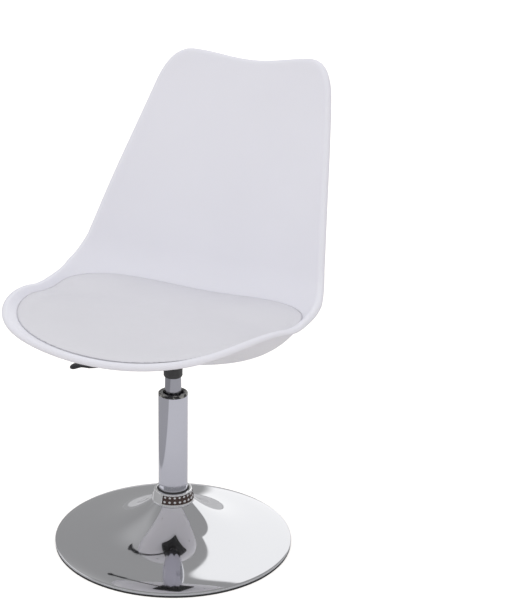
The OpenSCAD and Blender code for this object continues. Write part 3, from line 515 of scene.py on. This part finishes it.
shell_front_y = 0.2545
shell_front_z = 0.42063
shell_front_slope = 15.4
shell_seat_slope = 20.6
shell_seat_l = 0.177
shell_bend_r = 0.187
shell_lean = 21.4
shell_half_w = 0.2315
shell_wing_s = 0.3755
shell_front_power = 4.4
shell_side_rise = 0.0875
shell_floor_rise = 0.053
shell_side_power = 8.5
shell_back_r = 0.348
shell_top_back_r = 0.43
shell_flatter = (0.55, 0.80)
shell_blend = (0.2595, 0.4085)
shell_top_s = 0.8075
shell_top_w = 0.1585
shell_peak_x = 0.110
shell_peak_rise = 0.0085
shell_corner_l = 0.053
shell_side_taper = 0.22
shell_side_pull = 0.019
shell_corner_pull = 0.116
shell_corner_round = 0.55
shell_middle = 0.57
shell_lip_r = 0.007
shell_lip_front_r = 0.0062
shell_lip_grows = 0.6
shell_lip_turn = 150
shell_wall = 0.0042
shell_sides = 240
shell_rings = 64
shell_roll = 9
shell_step = 0.0005
shell_white = (0.818, 0.816, 0.882)


def arc_end(point, length, turn):
    """Point and heading in degrees after an arc of this length that turns by turn degrees."""
    y, z, heading = point
    half = math.radians(turn / 2)
    chord = length if abs(turn) < 0.001 else length * math.sin(half) / half
    aim = math.radians(heading + turn / 2)
    return y + chord * math.cos(aim), z + chord * math.sin(aim), heading + turn


def middle_line(s):
    """Point and heading of the shell's middle line at distance s behind its front edge."""
    start = (-shell_front_y, shell_front_z, -shell_front_slope)
    turn = shell_front_slope - shell_seat_slope
    if s < shell_seat_l:
        return arc_end(start, s, turn * s / shell_seat_l)
    bend_from = arc_end(start, shell_seat_l, turn)
    bend_turn = 90 - shell_lean + shell_seat_slope
    bend_l = shell_bend_r * math.radians(bend_turn)
    if s < shell_seat_l + bend_l:
        return arc_end(bend_from, s - shell_seat_l, bend_turn * (s - shell_seat_l) / bend_l)
    return arc_end(arc_end(bend_from, bend_l, bend_turn), s - shell_seat_l - bend_l, 0)


def on_shell(x, s):
    """Point of the shell's inner face at x across the chair and s along it."""
    y, z, heading = middle_line(s)
    q = abs(x) / shell_half_w
    seat = shell_floor_rise * q * q + (shell_side_rise - shell_floor_rise) * q ** shell_side_power
    flatter = ease((s - shell_flatter[0]) / (shell_flatter[1] - shell_flatter[0]))
    back = x * x / 2 * mix(1 / shell_back_r, 1 / shell_top_back_r, flatter)
    rise = mix(seat, back, ease((s - shell_blend[0]) / (shell_blend[1] - shell_blend[0])))
    aim = math.radians(heading)
    return Vector((x, y - math.sin(aim) * rise, z + math.cos(aim) * rise))


def shell_normal(x, s):
    """Direction square to the shell, towards the sitter."""
    across = on_shell(x + shell_step, s) - on_shell(x - shell_step, s)
    along = on_shell(x, s + shell_step) - on_shell(x, s - shell_step)
    return across.cross(along).normalized()


def above_shell(x, s, height):
    """Point at this height square above the shell."""
    return on_shell(x, s) + height * shell_normal(x, s)


def shell_foot(point, x, s):
    """The x and s of the place on the shell nearest to a point, from a rough guess of them."""
    for k in range(3):
        gap = point - on_shell(x, s)
        across = (on_shell(x + shell_step, s) - on_shell(x - shell_step, s)) / (2 * shell_step)
        along = (on_shell(x, s + shell_step) - on_shell(x, s - shell_step)) / (2 * shell_step)
        x += gap.dot(across) / across.length_squared
        s += gap.dot(along) / along.length_squared
    return x, s


def bezier(a, b, c, d, t):
    """Point at part t of a curve from a to d that b and c pull on."""
    u = 1 - t
    return tuple(u ** 3 * p + 3 * u * u * t * q + 3 * u * t * t * r + t ** 3 * w for p, q, r, w in zip(a, b, c, d))


def evenly(path, count):
    """count points at even distances along a closed path, which ends where it starts."""
    reach = [0.0]
    for p, q in zip(path, path[1:]):
        reach.append(reach[-1] + math.dist(p, q))
    spaced = []
    k = 0
    for n in range(count):
        want = reach[-1] * n / count
        while reach[k + 1] < want:
            k += 1
        t = (want - reach[k]) / (reach[k + 1] - reach[k])
        spaced.append(tuple(mix(a, b, t) for a, b in zip(path[k], path[k + 1])))
    return spaced


def both_sides(half):
    """A closed outline from its right half, which runs from the front middle to the rear middle."""
    return half + [(-x, s) for x, s in half[-2:0:-1]] + [half[0]]


corner = (shell_top_w, shell_top_s - shell_corner_l)
peak = (shell_peak_x, shell_top_s + shell_peak_rise)
corner_up = shell_corner_round * (peak[1] - corner[1])
half_outline = []
for k in range(90):
    a = math.radians(k)
    half_outline.append((shell_half_w * math.sin(a) ** (2 / shell_front_power),
                         shell_wing_s * (1 - math.cos(a) ** (2 / shell_front_power))))
for k in range(60):
    half_outline.append(bezier(
        (shell_half_w, shell_wing_s), (shell_half_w, shell_wing_s + shell_side_pull),
        (corner[0] + shell_corner_pull * shell_side_taper, corner[1] - shell_corner_pull), corner, k / 60))
for k in range(24):
    half_outline.append(bezier(
        corner, (corner[0] - corner_up * shell_side_taper, corner[1] + corner_up),
        (mix(peak[0], corner[0], shell_corner_round), peak[1]), peak, k / 24))
for k in range(30, -1, -1):
    half_outline.append((shell_peak_x * k / 30,
                         shell_top_s + shell_peak_rise * (1 - math.cos(math.pi * k / 30)) / 2))
shell_outline = evenly(both_sides(half_outline), shell_sides)
shell_middle_s = shell_middle * shell_top_s


def spun_disc(rings, sides):
    """A flat disc of rings, one unit wide each."""
    work = bmesh.new()
    spoke = [work.verts.new((k, 0, 0)) for k in range(rings + 1)]
    for a, b in zip(spoke, spoke[1:]):
        work.edges.new((a, b))
    bmesh.ops.spin(work, geom=work.verts[:] + work.edges[:], axis=(0, 0, 1), angle=2 * math.pi,
                   steps=sides, use_merge=True)
    bmesh.ops.remove_doubles(work, verts=work.verts, dist=1e-4)
    return work


def ring_and_side(v, sides):
    """Numbers of the ring and the side that a point of a flat disc lies on."""
    ring = round(math.hypot(v.co.x, v.co.y))
    side = round(math.atan2(v.co.y, v.co.x) / (2 * math.pi) * sides) % sides
    return ring, side


def roll_point(side, turn):
    """Point on the rolled rim beside point number side of the outline."""
    x, s = shell_outline[side]
    before = on_shell(*shell_outline[side - 1])
    after = on_shell(*shell_outline[(side + 1) % shell_sides])
    up = shell_normal(x, s)
    out = (after - before).cross(up).normalized()
    r = mix(shell_lip_r, shell_lip_front_r, ease(1 - s / (shell_lip_grows * shell_wing_s)))
    aim = math.radians(turn)
    return on_shell(x, s) - r * up + r * (math.sin(aim) * out + math.cos(aim) * up)


def shell_plastic(name):
    """White polypropylene with a soft gloss, a very fine mould grain and a slight cloudiness."""
    finish, shader = new_finish(name, shell_white)
    toned(finish, shader, clouds(finish, 7, 3), tuple(0.985 * c for c in shell_white), shell_white)
    varied(finish, clouds(finish, 25, 4), shader.inputs["Roughness"], 0.32, 0.40)
    embossed(finish, shader, clouds(finish, 1400, 2), 0.00003, 0.6)
    shader.inputs["IOR"].default_value = 1.49
    shader.inputs["Specular IOR Level"].default_value = 0.35
    shader.inputs["Subsurface Weight"].default_value = 0.06
    shader.inputs["Subsurface Radius"].default_value = (0.006, 0.006, 0.007)
    shader.inputs["Subsurface Scale"].default_value = 1.0
    return finish


shell = spun_disc(shell_rings + shell_roll, shell_sides)
for v in shell.verts:
    ring, side = ring_and_side(v, shell_sides)
    if ring > shell_rings:
        v.co = roll_point(side, shell_lip_turn * (ring - shell_rings) / shell_roll)
    else:
        f = ring / shell_rings
        x, s = shell_outline[side]
        v.co = on_shell(f * x, mix(shell_middle_s, s, f))
white_shell = shell_plastic("white_shell_plastic")
shell_piece = made("bucket_shell", shell, white_shell, "seat", ["seat_shell"], sharp=70)
inner_up = sum(p.normal.z * p.area for p in shell_piece.data.polygons)
wall = shell_piece.modifiers.new("wall", "SOLIDIFY")
wall.thickness = shell_wall
wall.offset = -1 if inner_up > 0 else 1
wall.use_even_offset = True

# Bosses. Four hollow posts moulded under the shell, flared where they meet it, each with a threaded insert.
# The seat plate is drawn up against their ends.

plate_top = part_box("mount_plate")[1].z
boss_r = 0.0085
boss_flare_r = 0.010625
boss_flare_from = 0.6
boss_flare_l = 0.001
boss_sunk = 0.35
boss_gap = 0.00005
insert_r = 0.00462
bolt_x = 0.038
bolt_y = 0.036
bosses = bmesh.new()
for x, y in ((bolt_x, bolt_y), (-bolt_x, bolt_y), (bolt_x, -bolt_y), (-bolt_x, -bolt_y)):
    low_s, high_s = 0.0, 0.5
    for k in range(30):
        s = (low_s + high_s) / 2
        low_s, high_s = (low_s, s) if on_shell(x, s).y > y else (s, high_s)
    top = on_shell(x, s).z - boss_sunk * shell_wall - plate_top
    post = turned([(insert_r, 0), (boss_r, 0), (boss_r, boss_flare_from * top), (boss_flare_r, top - boss_flare_l),
                   (insert_r, top - boss_flare_l)], steps=48, rounding=0.0006)
    bmesh.ops.transform(post, verts=post.verts, matrix=Matrix.Translation((x, y, plate_top + boss_gap)))
    post_mesh = bpy.data.meshes.new("post")
    post.to_mesh(post_mesh)
    post.free()
    bosses.from_mesh(post_mesh)
    bpy.data.meshes.remove(post_mesh)
made("shell_bosses", bosses, white_shell, "seat")

# Seat pad. A foam pad on a moulded board, wrapped in smooth pale grey imitation leather, and screwed to the shell
# from below. The cover is drawn tight round the board, so that only a soft rounded edge shows.

pad_half_w = 0.224
pad_front_s = 0.005
pad_mid_s = 0.264
pad_rear_s = 0.4045
pad_front_power = 3.1
pad_rear_power = 3.4
pad_centre = 0.96
pad_gap = 0.0006
pad_edge_h = 0.009
pad_crown = 0.002
pad_crown_power = 2.4
pad_roll_reach = 0.955
pad_full_reach = 1.006
pad_sides = 200
pad_top_rings = 26
pad_edge_rings = 8
pad_under_rings = 24
pad_voxel = 0.0045
pad_pressure = 4.0
pad_frames = 20
pad_swell = 0.0025
pad_held_fall = 0.2
pad_seam = 1.2
pad_seam_merge = 0.0015
pad_seam_steps = 20
pad_smoothings = 3
pad_grey = (0.715, 0.71, 0.755)

half_pad = []
for k in range(181):
    a = math.radians(k)
    if k < 90:
        power, reach = pad_front_power, pad_mid_s - pad_front_s
    else:
        power, reach = pad_rear_power, pad_rear_s - pad_mid_s
    half_pad.append((pad_half_w * abs(math.sin(a)) ** (2 / power),
                     pad_mid_s - math.copysign(reach * abs(math.cos(a)) ** (2 / power), math.cos(a))))
pad_outline = evenly(both_sides(half_pad), pad_sides)
pad_centre_s = mix(pad_front_s, pad_mid_s, pad_centre)


def pad_point(side, reach, height):
    """Point at this height above the shell, at part reach of the way from the pad's middle to its outline."""
    x, s = pad_outline[side]
    return above_shell(reach * x, mix(pad_centre_s, s, reach), height)


pad_roll = [pad_point(side, pad_roll_reach, pad_edge_h) for side in range(pad_sides)]
pad_roll_z = [point.z for point in pad_roll]
pad_middle = Vector((0, on_shell(0, pad_centre_s).y, (min(pad_roll_z) + max(pad_roll_z)) / 2 + pad_crown))
pad_rings = pad_top_rings + pad_edge_rings + pad_under_rings
pad_form = spun_disc(pad_rings, pad_sides)
pad_form.verts.index_update()
pad_spots = kdtree.KDTree(len(pad_form.verts))
pad_reach = {}
for v in pad_form.verts:
    ring, side = ring_and_side(v, pad_sides)
    reach = min(pad_full_reach * (pad_rings - ring) / pad_under_rings, pad_full_reach)
    if ring <= pad_top_rings:
        f = ring / pad_top_rings
        v.co = pad_middle.lerp(pad_roll[side], f)
        v.co.z = mix(pad_middle.z, pad_roll[side].z, f ** pad_crown_power)
    elif ring <= pad_top_rings + pad_edge_rings:
        a = math.pi / 2 * (ring - pad_top_rings) / pad_edge_rings
        v.co = pad_point(side, mix(pad_roll_reach, pad_full_reach, math.sin(a)),
                         mix(pad_gap, pad_edge_h, math.cos(a)))
    else:
        v.co = pad_point(side, reach, pad_gap)
    pad_spots.insert(v.co, v.index)
    pad_reach[v.index] = (side, reach, ring > pad_top_rings)
pad_spots.balance()
bmesh.ops.remove_doubles(pad_form, verts=pad_form.verts, dist=1e-6)
bmesh.ops.recalc_face_normals(pad_form, faces=pad_form.faces)
pad_mesh = bpy.data.meshes.new("pad_form")
pad_form.to_mesh(pad_mesh)
pad_form.free()


def remeshed(mesh, voxel):
    """The same closed form with an even mesh."""
    stand_in = bpy.data.objects.new("stand_in", mesh)
    bpy.context.scene.collection.objects.link(stand_in)
    evener = stand_in.modifiers.new("even", "REMESH")
    evener.mode = "VOXEL"
    evener.voxel_size = voxel
    bpy.context.view_layer.update()
    even = bpy.data.meshes.new_from_object(stand_in.evaluated_get(bpy.context.evaluated_depsgraph_get()))
    bpy.data.objects.remove(stand_in)
    return even


def swollen(mesh, held, pressure, frames, most):
    """The mesh after it swells under pressure as cloth, where it isn't held, with no point moved more than most."""
    cushion = bpy.data.objects.new("cushion", mesh)
    bpy.context.scene.collection.objects.link(cushion)
    group = cushion.vertex_groups.new(name="held")
    group.add(held, 1.0, "REPLACE")
    cloth = cushion.modifiers.new("swell", "CLOTH")
    cloth.settings.quality = 5
    cloth.settings.use_pressure = True
    cloth.settings.uniform_pressure_force = pressure
    cloth.settings.vertex_group_mass = "held"
    cloth.settings.effector_weights.gravity = 0
    cloth.point_cache.frame_start = 1
    cloth.point_cache.frame_end = frames
    for number in range(1, frames + 1):
        bpy.context.scene.frame_set(number)
    after = cushion.evaluated_get(bpy.context.evaluated_depsgraph_get()).to_mesh()
    moved = [after.vertices[k].co - v.co for k, v in enumerate(mesh.vertices)]
    bpy.data.objects.remove(cushion)
    bpy.context.scene.frame_set(1)
    for v, move in zip(mesh.vertices, moved):
        v.co += move * (math.tanh(move.length / most) * most / max(move.length, 1e-9))


pad_seam_line = kdtree.KDTree(pad_sides * pad_seam_steps)
for side in range(pad_sides):
    start = pad_point(side, pad_full_reach, pad_gap)
    end = pad_point((side + 1) % pad_sides, pad_full_reach, pad_gap)
    for k in range(pad_seam_steps):
        pad_seam_line.insert(start.lerp(end, k / pad_seam_steps), side * pad_seam_steps + k)
pad_seam_line.balance()
pad_mesh = remeshed(pad_mesh, pad_voxel)
seam_spots = {}
for v in pad_mesh.vertices:
    spot, number, away = pad_seam_line.find(v.co)
    if away < pad_seam * pad_voxel:
        seam_spots[v.index] = spot
pad_held = [v.index for v in pad_mesh.vertices if v.normal.z < -pad_held_fall]
swollen(pad_mesh, pad_held, pad_pressure, pad_frames, pad_swell)
for number, spot in seam_spots.items():
    pad_mesh.vertices[number].co = spot
pad_work = bmesh.new()
pad_work.from_mesh(pad_mesh)
seam = [v for v in pad_work.verts if v.index in seam_spots]
loose = [v for v in pad_work.verts if v.index not in seam_spots]
bmesh.ops.remove_doubles(pad_work, verts=seam, dist=pad_seam_merge)
seam = {v for v in seam if v.is_valid}
flat = [face for face in pad_work.faces if seam.issuperset(face.verts)]
while flat:
    touched = set()
    folded = []
    for face in flat:
        edge = min(face.edges, key=lambda e: e.calc_length())
        if touched.isdisjoint(edge.verts):
            touched.update(edge.verts)
            folded.append(edge)
    bmesh.ops.collapse(pad_work, edges=folded)
    seam = {v for v in seam if v.is_valid}
    flat = [face for face in pad_work.faces if seam.issuperset(face.verts)]
crease = pad_work.edges.layers.float.new("crease_edge")
for edge in pad_work.edges:
    if edge.verts[0] in seam and edge.verts[1] in seam:
        edge[crease] = 1.0
for k in range(pad_smoothings):
    bmesh.ops.smooth_vert(pad_work, verts=loose, factor=0.5, use_axis_x=True, use_axis_y=True, use_axis_z=True)
for v in loose:
    side, reach, low = pad_reach[pad_spots.find(v.co)[1]]
    if low:
        x, s = shell_foot(v.co, reach * pad_outline[side][0], mix(pad_centre_s, pad_outline[side][1], reach))
        up = shell_normal(x, s)
        height = (v.co - on_shell(x, s)).dot(up)
        v.co += (max(pad_gap, height) - height) * up


def imitation_leather(name):
    """Pale grey coated fabric with a fine pebbled grain and faint soft creases."""
    finish, shader = new_finish(name, pad_grey)
    toned(finish, shader, clouds(finish, 9, 3), tuple(0.975 * c for c in pad_grey), pad_grey)
    varied(finish, clouds(finish, 60, 4), shader.inputs["Roughness"], 0.48, 0.58)
    embossed(finish, shader, clouds(finish, 30, 2), 0.0004, 0.5)
    tree = finish.node_tree
    pebbles = tree.nodes.new("ShaderNodeTexVoronoi")
    pebbles.inputs["Scale"].default_value = 750
    place = tree.nodes.new("ShaderNodeTexCoord")
    tree.links.new(place.outputs["Object"], pebbles.inputs["Vector"])
    embossed(finish, shader, pebbles.outputs["Distance"], 0.00012, 0.6)
    return finish


grey_leather = imitation_leather("grey_imitation_leather")
seat_pad = made("seat_pad", pad_work, grey_leather, "seat", ["pad_cover", "pad_foam"], sharp=180)
rounder = seat_pad.modifiers.new("rounder", "SUBSURF")
rounder.levels = 1
rounder.render_levels = 1


def bare_ply(name):
    """Bare birch ply with its grain along the seat."""
    finish, shader = new_finish(name, (0.55, 0.40, 0.25))
    toned(finish, shader, clouds(finish, 90, 5, (1, 0.08, 1)), (0.47, 0.33, 0.19), (0.62, 0.47, 0.31))
    varied(finish, clouds(finish, 60, 3), shader.inputs["Roughness"], 0.5, 0.7)
    embossed(finish, shader, clouds(finish, 400, 3, (1, 0.08, 1)), 0.00005)
    return finish


dressed(bare_ply("bare_ply"), "seat", "pad_board", "pad_board")
dressed(zinc_plate, "seat", "zinc_steel", "pad_screws")

# Studio. A plain pale floor and an even white room, with the camera where the photograph was taken from.
# The column's axis lies left of the picture's middle, so the lens is shifted, as the photograph's framing is.

picture_w = 521
picture_h = 600
axis_px = 173.1
focal_px = 1500
film = 36.0
camera_distance = 2.3437
camera_height = 1.235
camera_turn = math.radians(29.49)
camera_pitch = math.radians(18.764)
floor_size = 60.0
floor_pale = (0.80, 0.775, 0.75)
floor_grey = (0.70, 0.70, 0.71)
floor_lift = 0.5
# Where the floor, as metal sees it, turns darker on the left: painted shade that shows only in reflections.
shade_strip_way = (-0.99, -0.14, 0)
shade_strip_edge = 0.31
shade_strip_blur = 0.02
shade_strip_dark = 0.62
room_level = 0.665
room_top = 0.50
room_lean_x = 0.055
room_lean_y = -0.095
room_flag_x = 0.87
room_flag_y = 0.49
room_flag_dark = -0.25
room_grey = 0.50
panel_white = (0.8, 0.8, 0.8)
back_panel_cut = (0.346, 0.783, -0.516)
back_panel_blur = 0.01

floor_work = bmesh.new()
bmesh.ops.create_grid(floor_work, x_segments=2, y_segments=2, size=floor_size / 2)
floor_mesh = bpy.data.meshes.new("studio_floor")
floor_work.to_mesh(floor_mesh)
floor_work.free()
studio_floor = bpy.data.objects.new("studio_floor", floor_mesh)
bpy.context.scene.collection.objects.link(studio_floor)
floor_finish = bpy.data.materials.new("studio_floor")
floor_finish.use_nodes = True
floor_tree = floor_finish.node_tree
floor_tree.nodes.clear()
floor_out = floor_tree.nodes.new("ShaderNodeOutputMaterial")
floor_paint = floor_tree.nodes.new("ShaderNodeBsdfDiffuse")
floor_glow = floor_tree.nodes.new("ShaderNodeEmission")
floor_glow.inputs["Color"].default_value = (1, 1, 1, 1)
floor_glow.inputs["Strength"].default_value = floor_lift
floor_sum = floor_tree.nodes.new("ShaderNodeAddShader")
floor_mix = floor_tree.nodes.new("ShaderNodeMixShader")
floor_path = floor_tree.nodes.new("ShaderNodeLightPath")
floor_tree.links.new(floor_paint.outputs["BSDF"], floor_sum.inputs[0])
floor_tree.links.new(floor_glow.outputs["Emission"], floor_sum.inputs[1])
floor_tree.links.new(floor_path.outputs["Is Camera Ray"], floor_mix.inputs["Fac"])
floor_tree.links.new(floor_paint.outputs["BSDF"], floor_mix.inputs[1])
floor_tree.links.new(floor_sum.outputs["Shader"], floor_mix.inputs[2])
floor_tree.links.new(floor_mix.outputs["Shader"], floor_out.inputs["Surface"])
# Glossy and transmission rays see the floor grey, and darker still past a line on the left: painted shade, which the
# metal shows as a dark strip in its reflections.
floor_place = floor_tree.nodes.new("ShaderNodeTexCoord")
floor_side = floor_tree.nodes.new("ShaderNodeVectorMath")
floor_side.operation = "DOT_PRODUCT"
floor_side.inputs[1].default_value = shade_strip_way
floor_tree.links.new(floor_place.outputs["Object"], floor_side.inputs[0])
floor_fade = floor_tree.nodes.new("ShaderNodeMapRange")
floor_fade.interpolation_type = "SMOOTHSTEP"
floor_fade.inputs["From Min"].default_value = shade_strip_edge - shade_strip_blur
floor_fade.inputs["From Max"].default_value = shade_strip_edge + shade_strip_blur
floor_tree.links.new(floor_side.outputs["Value"], floor_fade.inputs["Value"])
floor_seen = floor_tree.nodes.new("ShaderNodeMix")
floor_seen.data_type = "RGBA"
floor_seen.inputs["A"].default_value = (*floor_grey, 1)
floor_seen.inputs["B"].default_value = (*(shade_strip_dark * c for c in floor_grey), 1)
floor_tree.links.new(floor_fade.outputs["Result"], floor_seen.inputs["Factor"])
floor_shine = floor_tree.nodes.new("ShaderNodeMath")
floor_shine.operation = "MAXIMUM"
floor_tree.links.new(floor_path.outputs["Is Glossy Ray"], floor_shine.inputs[0])
floor_tree.links.new(floor_path.outputs["Is Transmission Ray"], floor_shine.inputs[1])
floor_tone = floor_tree.nodes.new("ShaderNodeMix")
floor_tone.data_type = "RGBA"
floor_tone.inputs["A"].default_value = (*floor_pale, 1)
floor_tree.links.new(floor_shine.outputs["Value"], floor_tone.inputs["Factor"])
floor_tree.links.new(floor_seen.outputs["Result"], floor_tone.inputs["B"])
floor_tree.links.new(floor_tone.outputs["Result"], floor_paint.inputs["Color"])
floor_mesh.materials.append(floor_finish)

room = bpy.data.worlds.new("studio_room")
bpy.context.scene.world = room
room.use_nodes = True
room_tree = room.node_tree
room_tree.nodes.clear()
room_out = room_tree.nodes.new("ShaderNodeOutputWorld")
room_light = room_tree.nodes.new("ShaderNodeBackground")
room_light.inputs["Color"].default_value = (1, 1, 1, 1)
room_panels = room_tree.nodes.new("ShaderNodeBackground")
room_panels.inputs["Color"].default_value = (*panel_white, 1)
room_seen = room_tree.nodes.new("ShaderNodeBackground")
room_seen.inputs["Color"].default_value = (1, 1, 1, 1)
room_place = room_tree.nodes.new("ShaderNodeTexCoord")
room_path = room_tree.nodes.new("ShaderNodeLightPath")


def room_maths(operation, *parts):
    """A maths node of the room, from numbers and outputs of other nodes."""
    node = room_tree.nodes.new("ShaderNodeMath")
    node.operation = operation
    for k, part in enumerate(parts):
        if isinstance(part, float):
            node.inputs[k].default_value = part
        else:
            room_tree.links.new(part, node.inputs[k])
    return node.outputs["Value"]


def soft_step(source, start, end):
    """Runs from 0 at start to 1 at end."""
    fade = room_tree.nodes.new("ShaderNodeMapRange")
    fade.interpolation_type = "SMOOTHSTEP"
    fade.inputs["From Min"].default_value = start
    fade.inputs["From Max"].default_value = end
    room_tree.links.new(source, fade.inputs["Value"])
    return fade.outputs["Result"]


room_parts = room_tree.nodes.new("ShaderNodeSeparateXYZ")
room_tree.links.new(room_place.outputs["Generated"], room_parts.inputs["Vector"])
room_turn = room_maths("ARCTAN2", room_parts.outputs["X"], room_parts.outputs["Y"])
room_rise = room_parts.outputs["Z"]


def room_slant(x, y):
    """A value that grows across the room, by x towards +X and by y towards +Y."""
    return room_maths("MULTIPLY_ADD", room_parts.outputs["X"], x, room_maths("MULTIPLY", room_parts.outputs["Y"], y))


room_even = room_maths("MULTIPLY_ADD", room_rise, room_top, room_level)
room_lit = room_maths("ADD", room_slant(room_lean_x, room_lean_y), room_even)
room_right = room_maths("MAXIMUM", 0.0, room_slant(room_flag_x, room_flag_y))
room_flag = room_maths("MULTIPLY", room_maths("MULTIPLY", room_right, room_right), room_flag_dark)
room_tree.links.new(room_maths("ADD", room_lit, room_flag), room_light.inputs["Strength"])


def panel(left, right, low, high, blur, strength):
    """Brightness of a soft-edged panel, from its sides' bearings off +Y and its ends' elevations in degrees."""
    left, right, low, high, blur = (math.radians(a) for a in (left, right, low, high, blur))
    across = room_maths("MULTIPLY", soft_step(room_turn, left - blur, left + blur),
                        soft_step(room_turn, right + blur, right - blur))
    along = room_maths("MULTIPLY", soft_step(room_rise, math.sin(low - blur), math.sin(low + blur)),
                       soft_step(room_rise, math.sin(high + blur), math.sin(high - blur)))
    return room_maths("MULTIPLY", room_maths("MULTIPLY", across, along), strength)


back_panel_end = room_tree.nodes.new("ShaderNodeVectorMath")
back_panel_end.operation = "DOT_PRODUCT"
back_panel_end.inputs[1].default_value = back_panel_cut
room_tree.links.new(room_place.outputs["Generated"], back_panel_end.inputs[0])
back_panel = room_maths("MULTIPLY", panel(-26.0, 20.0, -8.0, 80.0, 0.7, 1.05),
                        soft_step(back_panel_end.outputs["Value"], -back_panel_blur, back_panel_blur))
side_panel = panel(-128.0, -78.0, -2.0, 20.0, 6.0, 0.90)
corner_panel = panel(-100.0, -60.0, 36.0, 62.0, 12.0, 0.16)
room_panel_sum = room_maths("ADD", room_maths("ADD", back_panel, side_panel), corner_panel)
room_tree.links.new(room_maths("ADD", room_panel_sum, room_grey), room_panels.inputs["Strength"])
room_glossy = room_tree.nodes.new("ShaderNodeMixShader")
room_mix = room_tree.nodes.new("ShaderNodeMixShader")
room_shine = room_maths("MAXIMUM", room_path.outputs["Is Glossy Ray"], room_path.outputs["Is Transmission Ray"])
room_tree.links.new(room_shine, room_glossy.inputs["Fac"])
room_tree.links.new(room_light.outputs["Background"], room_glossy.inputs[1])
room_tree.links.new(room_panels.outputs["Background"], room_glossy.inputs[2])
room_tree.links.new(room_path.outputs["Is Camera Ray"], room_mix.inputs["Fac"])
room_tree.links.new(room_glossy.outputs["Shader"], room_mix.inputs[1])
room_tree.links.new(room_seen.outputs["Background"], room_mix.inputs[2])
room_tree.links.new(room_mix.outputs["Shader"], room_out.inputs["Surface"])

lens = bpy.data.cameras.new("photo_camera")
lens.sensor_width = film
lens.lens = focal_px * film / picture_h
lens.shift_x = (picture_w / 2 - axis_px) / picture_h
lens.clip_end = 100
camera = bpy.data.objects.new("photo_camera", lens)
camera.location = (camera_distance * math.sin(camera_turn), -camera_distance * math.cos(camera_turn), camera_height)
camera.rotation_euler = (math.pi / 2 - camera_pitch, 0, camera_turn)
bpy.context.scene.collection.objects.link(camera)
bpy.context.scene.camera = camera
bpy.context.scene.view_settings.view_transform = "Standard"
